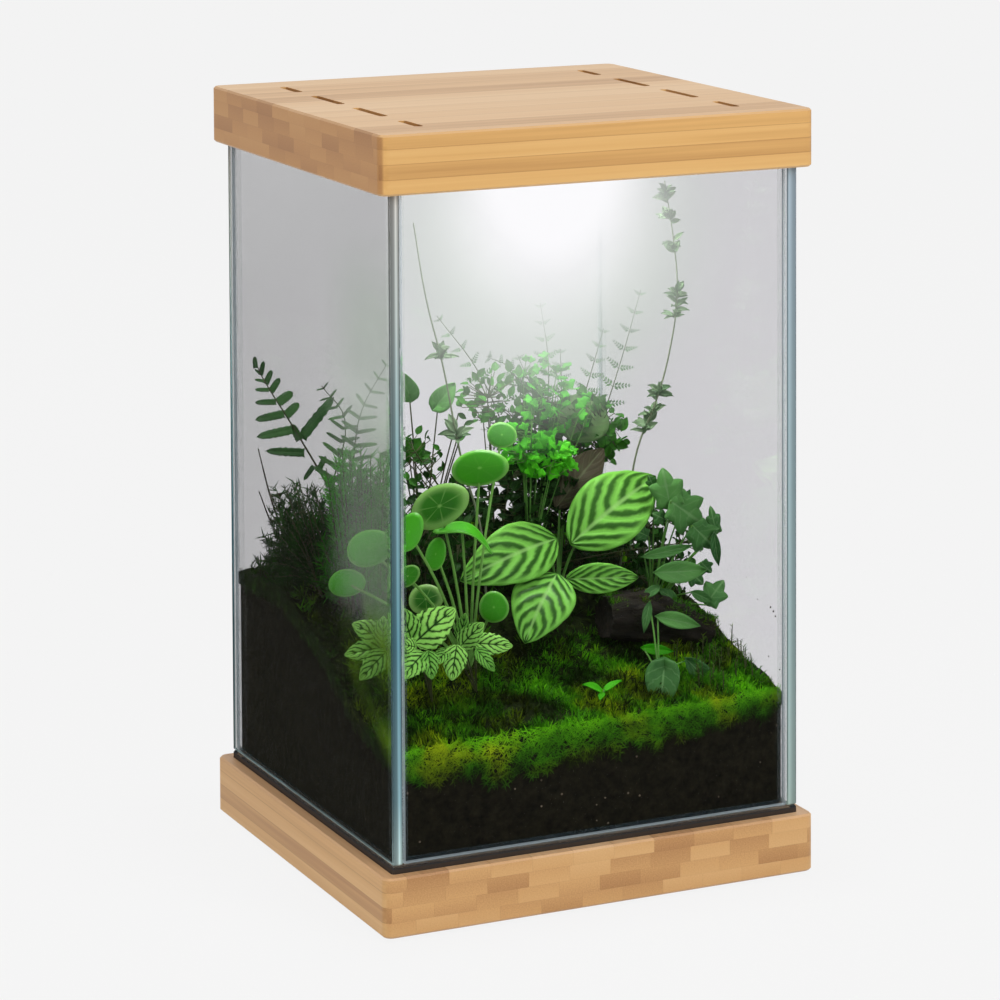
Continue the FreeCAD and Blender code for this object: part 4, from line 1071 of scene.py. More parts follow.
# %% Leaf colours
STRIPES = 5.6
PANELS = 5
VEIN_LEAN = 0.42
striped_leaf = leaf_finish(
    "striped_leaf", (0.05, 0.24, 0.02), (0.12, 0.4, 0.04), (0.32, 0.62, 0.17), STRIPES, VEIN_LEAN, 0.12,
    0.42, bands=((0.01, 0.055, 0.004), (0.24, 0.64, 0.09)))
leaf_underside = leaf_finish(
    "leaf_underside", (0.07, 0.06, 0.035), (0.1, 0.2, 0.06), (0.14, 0.16, 0.08), 7.0, 0.36, 0.3, 0.6)
pale_leaf = leaf_finish(
    "pale_leaf", (0.05, 0.32, 0.014), (0.46, 0.95, 0.19), (0.003, 0.04, 0.002), PANELS, VEIN_LEAN, 1.0,
    0.5, 0.2, 1.0, 0.19)
bright_leaf = leaf_finish(
    "bright_leaf", (0.02, 0.27, 0.005), (0.1, 0.64, 0.012), (0.16, 0.62, 0.03), glow=0.4)
fern_leaf = leaf_finish(
    "fern_leaf", (0.02, 0.075, 0.02), (0.07, 0.2, 0.05), (0.08, 0.18, 0.06), 9.0, 0.2, 0.3, 0.6)
# The misty greens are pale and grey partly because the glow of the haze in front is painted into them.
misty_leaf = leaf_finish(
    "misty_leaf", (0.1, 0.19, 0.09), (0.26, 0.38, 0.22), (0.25, 0.36, 0.2), 9.0, 0.2, 0.2, 0.6)
misty_stalk = leaf_finish(
    "misty_stalk", (0.16, 0.19, 0.12), (0.24, 0.28, 0.17), (0.2, 0.25, 0.15), glow=0.05)
ivy_leaf = leaf_finish(
    "ivy_leaf", (0.035, 0.13, 0.035), (0.14, 0.38, 0.09), (0.2, 0.4, 0.15), 4.0, 0.4, 0.35)
bush_leaf = leaf_finish(
    "bush_leaf", (0.005, 0.022, 0.004), (0.05, 0.24, 0.015), (0.04, 0.12, 0.02), 5.0, 0.3, 0.3)
stalk_green = leaf_finish("stalk_green", (0.04, 0.18, 0.02), (0.18, 0.4, 0.08), (0.2, 0.4, 0.1), glow=0.15)
stalk_dark = leaf_finish(
    "stalk_dark", (0.03, 0.035, 0.015), (0.09, 0.1, 0.04), (0.1, 0.1, 0.05), glow=0.05)
print("leaf colours ready")

# %% [markdown]
# Moss is olive in some patches and fresh green in others. One ramp would give only one of them, so two
# ramps are mixed by a broad noise over the whole carpet.

# %% Moss leaf finish
moss_leaf, tree, shader = new_material("moss_leaf", Roughness=0.6, Specular_IOR_Level=0.1)
tone = uneven_tone(tree, 160.0, 0.5)
olive = ramp(
    tree, tone, (0.0, (0.012, 0.02, 0.001)), (0.5, (0.17, 0.28, 0.004)), (1.0, (0.5, 0.66, 0.01)))
green = ramp(
    tree, tone, (0.0, (0.008, 0.025, 0.001)), (0.5, (0.06, 0.27, 0.004)), (1.0, (0.2, 0.68, 0.01)))
colour = blend(tree, between(tree, object_noise(tree, 45.0), 0.34, 0.56), olive, green)
paint(tree, shader, colour)
through_leaf(tree, shader, colour, 0.35)
print("moss leaf finish ready")

# %% [markdown]
# A coin leaf is glossy, with a pale rim and a pale spot where the stalk meets it. On old leaves the rim
# spreads inwards and spokes show. All of it is round, so the finish measures the distance and the angle
# from the middle of the texture place.

# %% Coin leaf finish
coin_leaf, tree, shader = new_material(
    "coin_leaf", Roughness=0.35, Specular_IOR_Level=0.25, Coat_Weight=0.08)
disc = add(tree, "Mapping",
           {"Vector": add(tree, "UVMap", uv_map="UVMap").outputs[0], "Location": (-0.5, -0.5, 0)})
from_middle = times(
    tree, add(tree, "VectorMath", {0: disc.outputs[0]}, operation="LENGTH").outputs["Value"], 2.0)
tone = uneven_tone(tree, 90.0, 0.4)
colour = ramp(tree, tone, (0.0, (0.02, 0.14, 0.006)), (1.0, (0.07, 0.46, 0.012)))
rim = ramp(tree, tone, (0.0, (0.3, 0.55, 0.14)), (1.0, (0.14, 0.55, 0.05)))
old_leaf = fading(tree, tone, 0.1, 0.5)
rim_start = minus(tree, 0.8, times(tree, old_leaf, 0.3))
colour = blend(tree, between(tree, from_middle, rim_start, 1.0), colour, rim)
x, y, _ = split(tree, disc.outputs[0])
turned = calculate(tree, "ARCTAN2", y, x)
spoke = calculate(tree, "FRACT", times(tree, turned, 7 / math.tau))
spoke = between(tree, apart(tree, spoke, 0.5), 0.4, 0.5)
spoke = times(tree, spoke, fading(tree, from_middle, 0.5, 0.9))
middle = fading(tree, from_middle, 0.02, 0.12)
spoke = times(tree, spoke, plus(tree, 0.1, times(tree, old_leaf, 0.35)))
colour = blend(tree, larger(tree, times(tree, middle, 0.7), spoke), colour, rim)
paint(tree, shader, colour)
through_leaf(tree, shader, colour, 0.3)
print("coin leaf finish ready")

# %% [markdown]
# The soil is almost black, with fine pale and reddish crumbs, most of them near the corners, where the
# substrate has dried on the glass. Crumbs could be modelled, but behind the glass they are flat. So they
# are cells of a Voronoi pattern: only rare cells are picked, and only their middles show.

# %% Soil
soil_black, tree, shader = new_material("soil_black", Roughness=0.95, Specular_IOR_Level=0.1)
coordinates = add(tree, "TexCoord")
x, _, z = split(tree, coordinates.outputs["Object"])
lumps = object_noise(tree, 260.0, 5.0, 0.7)
crumbs = add(tree, "TexVoronoi", {"Vector": coordinates.outputs["Object"], "Scale": 700.0})
crumb_random = add(tree, "SeparateColor", {0: crumbs.outputs["Color"]})
near_corner = times(tree, between(tree, x, 0.086, 0.094), between(tree, z, 0.05, 0.072))
rarity = minus(tree, 0.984, times(tree, near_corner, 0.14))
is_crumb = times(
    tree, calculate(tree, "GREATER_THAN", crumb_random.outputs[0], rarity),
    calculate(tree, "LESS_THAN", crumbs.outputs["Distance"], 0.34))
colour = ramp(tree, lumps, (0.3, (0.001, 0.001, 0.0006)), (0.75, (0.016, 0.014, 0.007)))
crumb_colour = ramp(
    tree, crumb_random.outputs[1], (0.0, (0.045, 0.022, 0.014)), (0.6, (0.07, 0.055, 0.04)),
    (1.0, (0.22, 0.18, 0.14)))
colour = blend(tree, is_crumb, colour, crumb_colour)
paint(tree, shader, colour)
bump(tree, shader, lumps, 0.8, 1.5 * MM)
finish_node("soil_bed", soil_black)
print("soil finished")

# %% [markdown]
# The bark is dark brown and grooved along the log. Grooves could be cut, but they are fine and many, so
# noise that is stretched along the log colours them and gives them relief.

# %% Bark
bark, tree, shader = new_material("bark", Roughness=0.85, Specular_IOR_Level=0.2)
grooves = add(
    tree, "Mapping", {"Vector": add(tree, "TexCoord").outputs["Object"], "Scale": (70.0, 420.0, 420.0)})
ridges = add(
    tree, "TexNoise", {"Vector": grooves.outputs[0], "Scale": 1.0, "Detail": 5.0, "Roughness": 0.65})
tone = add(tree, "Attribute", attribute_name="tone").outputs["Fac"]
colour = ramp(tree, plus(tree, ridges.outputs[0], times(tree, tone, 0.3)), (0.35, (0.003, 0.0025, 0.002)),
              (0.65, (0.016, 0.012, 0.007)), (0.95, (0.07, 0.055, 0.03)))
paint(tree, shader, colour)
bump(tree, shader, ridges.outputs[0], 0.9, 2.0 * MM)
print("bark finish ready")

# %% [markdown]
# Under its bright tips moss is a dark felt. It only shows between the tufts, so a dark green noise with
# strong relief is enough.

# %% Moss felt
carpet_dark, tree, shader = new_material("carpet_dark", Roughness=0.95, Specular_IOR_Level=0.1)
fluff = object_noise(tree, 330.0, 4.0)
colour = ramp(
    tree, fluff, (0.32, (0.003, 0.005, 0.002)), (0.6, (0.014, 0.024, 0.004)), (0.8, (0.05, 0.075, 0.01)))
paint(tree, shader, colour)
bump(tree, shader, fluff, 1.0, 2.0 * MM)
print("moss felt ready")

# %% [markdown]
# The moss covers the soil like a carpet. It could be a copy of the CAD solid, but that is too smooth. So
# a grid is laid on the rolling ground, roughened, and extruded down to the soil.

# %% Moss carpet
MAT_DEPTH = 5.4 * MM
start_fresh()
bpy.ops.mesh.primitive_grid_add(x_subdivisions=70, y_subdivisions=70, size=2 * BED)
carpet = bpy.context.object
carpet.name = "moss_carpet_mound"


def moss_level(x, y):
    """The height of the carpet under the tufts."""
    rough = noise.noise(Vector((x, y, 0)) * 90) * 1.6 + noise.noise(Vector((x, y, 3)) * 260) * 1.0
    return drop(x * 0.999, y * 0.999)[0].z + (rough - 2.2) * MM


move_points(carpet, lambda point: Vector((point.x, point.y, moss_level(point.x, point.y))))
set_mode("EDIT")
bpy.ops.mesh.select_all(action="SELECT")
bpy.ops.mesh.extrude_region_move(TRANSFORM_OT_translate={"value": (0, 0, -MAT_DEPTH)})
bpy.ops.mesh.select_all(action="SELECT")
bpy.ops.mesh.normals_make_consistent(inside=False)
set_mode("OBJECT")
bpy.ops.object.shade_smooth()
carpet.data.materials.append(carpet_dark)
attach(carpet, "tank")
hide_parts("moss_carpet")
print("moss carpet", len(carpet.data.polygons), "faces")

# %% [markdown]
# A moss plant is a tuft of thin bent blades. Hair would be quick, but it has no faces to keep, so blades
# are templates of a few faces, several make a tuft, and thousands of tufts are set on the carpet. They
# are sparse in the hollow, and darker there and on the slope at the left, which is painted shade.

# %% Moss tufts
blade = shape_leaf(
    moss_leaf, (3, 1), lambda along: 0.045 * (1 - along ** 2) + 0.008, lambda along, side: 0.0)


def bent_blade(length, lean, turn):
    """A copy of the blade that leaves its root upright and leans over."""
    rise = blade["points"][:, 0]
    points = np.stack((np.sin(rise * lean) * length * 0.8, blade["points"][:, 1] * length,
                       np.sin(rise * (math.pi / 2 - lean * 0.35)) * length * 0.75), axis=1)
    return dict(blade, points=points @ np.array(Matrix.Rotation(turn, 3, "Z")).T)


def tuft_template(dice, blades):
    """Several bent blades from one root, one unit long."""
    return joined([(bent_blade(dice.uniform(0.6, 1.1), dice.uniform(0.3, 1.35),
                               dice.uniform(0, math.tau)), None, 0.5) for _ in range(blades)])


def plant_tufts(name, seed, count, chance, size, shade):
    """Tufts on the moss. chance, size and shade say how likely, how long and how bright a tuft is."""
    dice = random.Random(seed)
    tufts = [tuft_template(dice, 9) for _ in range(6)]
    copies = []
    while len(copies) < count:
        x = dice.uniform(-0.975, 0.975)
        y = dice.uniform(-0.999, 0.97)
        if dice.random() > chance(x, y):
            continue
        point, normal = drop(x * BED, y * BED)
        lean = normal + Vector((dice.uniform(-0.5, 0.5), dice.uniform(-0.5, 0.5), 0))
        length = dice.uniform(0.6, 1.1) * size(x, y) * MM
        matrix = lay_round(point - normal * 3.0 * MM, (length, length), lean, dice.uniform(0, 360))
        patch = 0.75 * noise.noise(Vector((x * 5.5, y * 5.5, 5)))
        tone = shade(x, y) + patch + dice.uniform(-0.18, 0.18)
        copies.append((dice.choice(tufts), matrix, held(tone, 0, 1)))
    piece = gather(name, copies)
    flat = np.empty(len(piece.data.vertices) * 3)
    piece.data.vertices.foreach_get("co", flat)
    flat = flat.reshape(-1, 3)
    edge = BED - 0.2 * MM
    flat[:, :2] = np.clip(flat[:, :2], -edge, edge)
    piece.data.vertices.foreach_set("co", flat.ravel())
    piece.data.update()


def hollow(x, y):
    """How bare the moss is: it is bare in a hollow left of the middle."""
    return math.exp(-(((x + 0.34) / 0.24) ** 2 + ((y + 0.84) / 0.17) ** 2))


plant_tufts(
    "front_moss", 7, 3400, lambda x, y: held((-0.28 - y) / 0.3, 0, 1) - 0.85 * hollow(x, y),
    lambda x, y: 5.8 - 0.9 * x,
    # Darker in the hollow and at the left edge: painted shade.
    lambda x, y: 0.22 - 0.42 * y - 0.14 * x - 0.8 * hollow(x, y) - 0.5 * (x < -0.8))
plant_tufts("back_moss", 8, 1500, lambda x, y: 0.4 + 0.5 * (abs(x) > 0.6),
            lambda x, y: 8.5, lambda x, y: -0.05 + 0.25 * (x > 0.5) + 0.1 * held(-0.2 - y, 0, 1))

# %% [markdown]
# Some moss hangs down between the soil and the glass, and its lower edge is ragged. The carpet could be
# bent over, but the gap is under a millimetre. So short blades are laid flat in the gap, fewer and darker
# the lower they hang.

# %% Hanging moss


def hanging(dice, count, span, fringe, tones, spot_on_pane):
    """Short blades that hang against a pane, from the top of the moss down to a ragged lower edge."""
    copies = []
    for _ in range(count):
        share = dice.uniform(*span)
        drop_length = fringe(share) * (1 + 0.5 * noise.noise(Vector((share * 14, 2, 0))))
        level = dice.random() ** 1.1
        for _ in range(3):
            length = dice.uniform(1.8, 3.8) * MM
            reach = Vector((dice.uniform(-1, 1), dice.uniform(-1.0, 0.5))).normalized() * length
            foot = spot_on_pane(share, 1.0 * MM - drop_length * level, dice.uniform(0.04, 0.2) * MM)
            tip = spot_on_pane(share + reach.x / BED, 1.0 * MM - drop_length * level + reach.y,
                               dice.uniform(0.04, 0.2) * MM)
            tip.z = foot.z + reach.y
            facing = (0, -1, 0) if abs(foot.y) > BED else (-1, 0, 0)
            tone = tones(share) - 0.85 * level + 0.35 * noise.noise(Vector((share * 5, level * 2, 1)))
            copies.append((blade, lay_leaf(foot, tip, facing, 0.85),
                           held(tone + dice.uniform(-0.15, 0.15), 0, 1)))
    return copies


def on_front_pane(share, down, gap):
    """A place in the narrow gap behind the front pane."""
    share = held(share, -0.99, 0.99)
    return Vector((share * BED, -BED - gap, drop(share * BED, -BED)[0].z + down))


def on_left_pane(share, down, gap):
    """A place in the narrow gap behind the left pane."""
    share = held(share, -0.99, 0.99)
    return Vector((-BED - gap, share * BED, drop(-BED, share * BED)[0].z + down))


# How far the moss hangs down behind the front pane, in millimetres, from left to right
FRINGE_X = (-1.0, -0.74, -0.49, -0.28, 0.03, 0.24, 0.56, 1.0)
FRINGE = (14.0, 17.0, 22.0, 19.5, 17.0, 17.5, 14.5, 11.0)
dice = random.Random(9)
copies = hanging(
    dice, 3000, (-0.985, 0.985), lambda share: float(np.interp(share, FRINGE_X, FRINGE)) * MM,
    lambda share: 0.8 - 0.14 * share, on_front_pane)
copies += hanging(
    dice, 1500, (-0.985, 0.97), lambda share: 9 * MM, lambda share: 0.1 - 0.5 * (share + 0.7),
    on_left_pane)
gather("hanging_moss", copies)

# %% [markdown]
# Where leaves are few, each is placed one by one. A formula could arrange them, but the photograph shows
# each large leaf. So each has a line in a table, and `leafy` lays them and draws a stalk to each from the
# root.

# %% Plants with placed leaves


def stalk(root, joint, bow=0.08):
    """Points of a stalk that leaves its root steeply and bends over to its leaf."""
    root = Vector(root)
    joint = Vector(joint)
    return [root, root + (joint - root) / 2 + UP * bow * (joint - root).length, joint]


def oval(fullness, power):
    """A half width by the place along a leaf."""
    return lambda along: 0.5 * max(math.sin(math.pi * held(along, 0, 1) ** fullness), 0) ** power


def leafy(name, node, root_shares, leaves, facing, diameter, stalk_finish, seed, spread=0.2,
          bow=0.08):
    """A plant with leaves on stalks from one root. A leaf is (shape, base, tip, share of width, tone), and
    base and tip are places in the picture with a depth."""
    dice = random.Random(seed)
    root = on_moss(*root_shares)
    copies, lines = [], []
    for shape, base, tip, width, tone in leaves:
        base = seen_at(*base)
        tip = seen_at(*tip)
        turn = random_vector(dice, spread)
        copies.append((shape, lay_leaf(base, tip, facing + turn, width), tone))
        lines.append((stalk(root, base + (tip - base) * 0.08, bow), 0.7))
    copies.append((stems(lines, diameter, stalk_finish), None, 0.5))
    gather(name, copies, [node])


print("placing ready")

# %% [markdown]
# The broad striped leaves are the largest things in the tank. A flat oval would look like paper, so each
# is arched from base to tip, folded a little at the midrib and pleated along its side veins. Two leaves
# behind show their brown undersides.

# %% Striped plant


def vein_start(along, side):
    """The place on the midrib where the side vein through a point starts."""
    return along - VEIN_LEAN * abs(side) ** 1.25


def pleated(along, side):
    """Arch, fold and pleats of a broad leaf."""
    arch = 0.12 * math.sin(math.pi * along)
    fold = 0.05 * abs(side) - 0.05 * side * side
    pleats = 0.008 * math.sin(math.tau * STRIPES * vein_start(along, side)) * min(1, abs(side) * 3)
    return arch + fold + pleats


broad = shape_leaf(striped_leaf, (56, 20), oval(0.82, 0.72), pleated, thickness=0.012)
under = dict(broad, material=leaf_underside)
PRAYER_LEAVES = (
    (broad, (571, 543, -0.24), (655, 476, -0.16), 0.62, 0.9),
    (broad, (556, 538, -0.19), (461, 580, -0.32), 0.5, 0.6),
    (broad, (557, 573, -0.33), (525, 642, -0.54), 0.72, 0.5),
    (broad, (566, 578, -0.3), (638, 576, -0.42), 0.42, 0.8),
    (under, (556, 507, -0.06), (603, 448, 0.04), 0.46, 0.0),
    (under, (571, 440, 0.1), (594, 394, 0.22), 0.95, 1.0),
)
leafy("striped_plant", "prayer_plant", (0.2, -0.14), PRAYER_LEAVES, FRONT, 1.5 * MM,
      stalk_green, 5, 0.1)

# %% [markdown]
# The coin leaves are round, with a soft dish, and each stalk meets its leaf in the middle. A cylinder
# would be too exact, so a disc gets a slightly uneven rim. One leaf is seen from its edge and arches
# over, and that one is a bent strip.

# %% Coin plant
coin = shape_round(
    coin_leaf, 40, 3,
    lambda angle: 1 + 0.035 * math.cos(2 * angle + 0.4) + 0.02 * math.cos(3 * angle + 1),
    lambda reach, angle: 0.05 * math.cos(reach * 2.2) + 0.05 * math.cos(2 * angle + 0.7) * reach ** 2,
    0.02)
arched = shape_leaf(
    coin_leaf, (20, 6), oval(0.8, 0.6), lambda along, side: 0.26 * math.sin(math.pi * along),
    thickness=0.02)
# Centre in the picture, depth, radii in the picture, tilt in degrees, tone
COIN_LEAVES = (
    ((480, 467), -0.37, (28, 18.5), 8, 0.55), ((440, 505), -0.53, (30, 21), 30, 0.15),
    ((502, 434), -0.24, (14.5, 13.5), 0, 0.5), ((436, 553), -0.51, (16, 10.5), 80, 0.75),
    ((494, 606), -0.58, (14.5, 16), 0, 0.6), ((409, 531), -0.62, (20, 14), 70, 1.0),
    ((347, 583), -0.1, (18, 14), 8, 1.0), ((370, 548), -0.12, (23, 19), 20, 0.95),
    ((426, 598), -0.4, (17, 15), 20, 0.0), ((408, 575), -0.5, (13, 10), 40, 0.35),
)
root = on_moss(-0.42, -0.47)
copies, lines = [], []
dice = random.Random(4)
for middle, depth, radii, tilt, tone in COIN_LEAVES:
    centre = seen_at(*middle, depth)
    per_mark = (centre - CAMERA_PLACE).length / PICTURE_SCALE
    facing = FRONT + random_vector(dice, 0.15)
    copies.append((coin, lay_round(centre, [radius * per_mark for radius in radii], facing, tilt), tone))
    lines.append((stalk(root, centre - facing.normalized() * 0.6 * MM), 0.8))
base, tip = seen_at(433, 531, -0.5), seen_at(492, 553, -0.6)
copies.append((arched, lay_leaf(base, tip, (0.1, -0.25, 1.0), 0.42), 0.9))
lines.append((stalk(root, base + (tip - base) * 0.5 + UP * 5 * MM), 0.8))
copies.append((stems(lines, 1.5 * MM, stalk_green), None, 0.9))
gather("coin_leaves", copies, ["coin_plant"])

# %% [markdown]
# The pale rosettes sit close over one another. Their leaves are scalloped and quilted: panels stand up
# between dark veins. Bump alone wouldn't change their outline, so both the teeth and the panels are in
# the mesh.

# %% Pale rosettes


def scalloped(along):
    """An oval half width with small rounded teeth."""
    return oval(0.66, 0.62)(along) * (1 + 0.05 * math.cos(math.tau * 8 * along))


def quilted(along, side):
    """Fold at the midrib, and panels that stand up between the side veins."""
    panels = 0.03 * abs(math.sin(math.pi * PANELS * (vein_start(along, side) + 0.035)))
    panels *= min(1, abs(side) * 3)
    return 0.1 * abs(side) + 0.06 * math.sin(math.pi * along) - 0.09 * side * side + panels


quilt = shape_leaf(pale_leaf, (34, 14), scalloped, quilted, thickness=0.03)
NERVE_ROOTS = ((-0.67, -0.6), (-0.45, -0.62), (-0.84, -0.3))
# Owner, base and tip in the picture, depth, share of width, tone
NERVE_LEAVES = (
    (0, (415, 642), (455, 608), -0.66, 0.84, 0.9), (0, (412, 642), (400, 606), -0.64, 0.7, 0.6),
    (0, (424, 652), (402, 678), -0.78, 0.8, 0.6), (0, (428, 650), (432, 678), -0.8, 0.75, 0.4),
    (0, (416, 646), (392, 644), -0.74, 0.8, 0.8), (1, (460, 646), (484, 622), -0.64, 0.75, 0.7),
    (1, (474, 642), (512, 645), -0.68, 0.62, 0.9), (1, (457, 644), (452, 679), -0.76, 0.8, 0.8),
    (1, (476, 648), (494, 670), -0.76, 0.6, 0.3), (1, (462, 640), (466, 612), -0.6, 0.6, 0.4),
    (1, (448, 648), (436, 664), -0.74, 0.8, 0.5), (2, (384, 648), (342, 656), -0.34, 0.6, 0.7),
    (2, (386, 642), (352, 624), -0.3, 0.65, 0.9), (2, (386, 652), (360, 680), -0.42, 0.65, 0.7),
    (2, (384, 646), (384, 616), -0.36, 0.7, 0.8),
)
copies, lines = [], []
for owner, base, tip, depth, width, tone in NERVE_LEAVES:
    base, tip = seen_at(*base, depth), seen_at(*tip, depth - 0.04)
    turn = random_vector(dice, 0.35)
    copies.append((quilt, lay_leaf(base, tip, FRONT + UP * 0.3 + turn, width * 0.9), tone))
    lines.append((stalk(on_moss(*NERVE_ROOTS[owner]), base), 0.8))
copies.append((stems(lines, 0.8 * MM, stalk_dark), None, 0.4))
gather("pale_rosettes", copies, ["nerve_plant"])

# %% [markdown]
# The small plants share a few leaf shapes. The ivy leaf is a disc pulled out into five blunt corners,
# which keeps its net round. The others are ovals, and one is a heart, made by pushing the sides of its
# base backwards.

# %% Small leaf shapes


def ivy_reach(angle):
    """Five blunt corners, the longest ahead."""
    reach = 0.56
    for direction, length in ((0, 1.0), (1.05, 0.86), (-1.05, 0.86), (2.2, 0.74), (-2.2, 0.74)):
        off = abs(math.atan2(math.sin(angle - direction), math.cos(angle - direction)))
        reach = max(reach, length * (1 - 0.62 * off))
    return reach


def folded(fold, arch):
    """A height that folds a leaf at its midrib and arches it."""
    return lambda along, side: fold * abs(side) + arch * math.sin(math.pi * along)


def from_stalk(template):
    """A round leaf moved so that its stalk end is at the start."""
    return dict(template, points=template["points"] * np.array((0.58, 1.0, 0.58)) + np.array((0.4, 0, 0)))


def lobed_lift(reach, angle):
    """The lobed leaf is folded at its midrib and droops at its rim."""
    return 0.1 * reach * abs(math.sin(angle)) - 0.06 * reach * reach


lobed = from_stalk(shape_round(ivy_leaf, 60, 1, ivy_reach, lobed_lift, 0.025))
lobed["points"][:, 1] *= 0.6
ovate = shape_leaf(ivy_leaf, (10, 6), oval(0.8, 0.9), folded(0.08, 0.08), thickness=0.02)
heart = shape_leaf(
    ivy_leaf, (14, 8), oval(0.62, 0.8), folded(0.1, 0.1),
    lambda along, side: -0.28 * abs(side) ** 1.4 * (1 - along) ** 2, 0.02)
bright_oval = dict(ovate, material=bright_leaf)
misty_oval = dict(ovate, material=misty_leaf)
dark_oval = shape_leaf(bush_leaf, (6, 4), oval(0.8, 0.9), folded(0.1, 0.08))
print("small leaf shapes ready")

# %% [markdown]
# The ivy climbs at the right. Its leaves are lobed, with ovals between them, and they overlap, so each
# was placed one by one against the photograph.

# %% Ivy
IVY_LEAVES = (
    (lobed, (672, 512, -0.38), (662, 466, -0.38), 0.8, 0.75),
    (lobed, (668, 498, -0.4), (704, 524, -0.4), 0.95, 0.55),
    (lobed, (690, 522, -0.42), (716, 548, -0.42), 0.9, 0.35),
    (lobed, (717, 536, -0.42), (710, 504, -0.42), 0.5, 0.25),
    (ovate, (714, 530, -0.44), (719, 564, -0.44), 0.3, 0.1),
    (lobed, (704, 606, -0.46), (724, 578, -0.46), 0.95, 0.35),
    (lobed, (668, 520, -0.36), (652, 512, -0.36), 0.9, 0.3),
    (ovate, (640, 556, -0.45), (692, 544, -0.47), 0.2, 0.55),
    (ovate, (652, 571, -0.5), (705, 568, -0.5), 0.38, 0.85),
    (lobed, (686, 566, -0.44), (704, 584, -0.44), 0.85, 0.2),
    (lobed, (650, 536, -0.3), (632, 528, -0.3), 0.85, 0.15),
    (ovate, (690, 590, -0.46), (712, 600, -0.46), 0.4, 0.3),
    (ovate, (676, 600, -0.44), (656, 588, -0.44), 0.45, 0.25),
    (lobed, (700, 560, -0.4), (712, 572, -0.4), 0.9, 0.1),
    (ovate, (660, 585, -0.46), (640, 598, -0.46), 0.4, 0.4),
    (lobed, (655, 488, -0.3), (648, 474, -0.3), 0.8, 0.2),
    (ovate, (684, 500, -0.32), (690, 488, -0.32), 0.5, 0.2),
)
leafy("lobed_ivy", "ivy_vine", (0.68, -0.22), IVY_LEAVES, FRONT, 1.0 * MM, stalk_green, 11)

# %% [markdown]
# A vine with arrow-shaped leaves hangs over the front moss, and a seedling of three bright leaves stands
# beside it. They are few, so they are placed as the ivy is.

# %% Arrow-leaved vine and seedling
ARROW_LEAVES = (
    (ovate, (654, 615, -0.54), (699, 625, -0.58), 0.34, 0.9),
    (bright_oval, (640, 646, -0.6), (673, 650, -0.64), 0.32, 0.6),
    (heart, (664, 667, -0.8), (662, 709, -0.84), 0.86, 0.25),
    (ovate, (684, 656, -0.7), (720, 692, -0.76), 0.38, 0.1),
    (ovate, (650, 600, -0.56), (644, 632, -0.58), 0.3, 0.3),
)
leafy("arrow_leaves", "arrow_vine", (0.46, -0.74), ARROW_LEAVES, FRONT, 1.0 * MM,
      stalk_green, 12)
SEEDLING_LEAVES = (
    (bright_oval, (603, 692, -0.78), (622, 680, -0.78), 0.42, 0.9),
    (bright_oval, (603, 692, -0.78), (582, 684, -0.78), 0.45, 0.8),
    (bright_oval, (603, 692, -0.8), (600, 700, -0.86), 0.45, 0.7),
)
leafy("sprout", "seedling", (0.16, -0.76), SEEDLING_LEAVES, SKYWARD, 1.0 * MM, stalk_green,
      13)

# %% [markdown]
# Behind the coin leaves a creeper shows two heart-shaped leaves and some small dark ones. It is half
# hidden, so eight leaves are enough.

# %% Creeper
CREEPER_LEAVES = (
    (heart, (410, 394, 0.12), (402, 370, 0.12), 0.9, 0.6),
    (heart, (437, 404, 0.12), (455, 382, 0.12), 0.8, 0.7),
    (dark_oval, (408, 456, 0.06), (421, 437, 0.06), 0.8, 0.6),
    (dark_oval, (412, 460, 0.06), (431, 452, 0.06), 0.7, 0.5),
    (dark_oval, (404, 464, 0.06), (401, 443, 0.06), 0.7, 0.4),
    (dark_oval, (458, 412, 0.1), (466, 418, 0.1), 0.5, 0.3),
    (dark_oval, (464, 424, 0.1), (474, 420, 0.1), 0.45, 0.3),
    (dark_oval, (456, 440, 0.1), (466, 434, 0.1), 0.5, 0.4),
)
leafy("creeper", "back_creeper", (-0.4, 0.14), CREEPER_LEAVES, FRONT, 0.9 * MM, stalk_dark,
      14)

# %% [markdown]
# Where leaves are too many to place, they fill a region: an ellipse in the picture with a span of depths.
# Scattering alone would leave them hanging in the air, so main stems run from the root to each region,
# and every leaf hangs on the nearest stem by a short stalk.

# %% Filled regions


def in_region(dice, region):
    """A random point in a region, and its tone."""
    middle, radii, depths, _, _, tones = region
    angle = dice.uniform(0, math.tau)
    reach = dice.random() ** 0.5
    point = seen_at(middle[0] + radii[0] * reach * math.cos(angle),
                    middle[1] + radii[1] * reach * math.sin(angle), dice.uniform(*depths))
    return point, dice.uniform(*tones)


def on_stem(root, end, share):
    """The point at a share of a main stem."""
    return root + (end - root) * share + UP * 0.1 * share * (1 - share) * (end - root).length


def nearest(samples, point):
    """The nearest of some points, as a list of numbers."""
    return samples[np.argmin(((samples - np.array(point)) ** 2).sum(axis=1))]


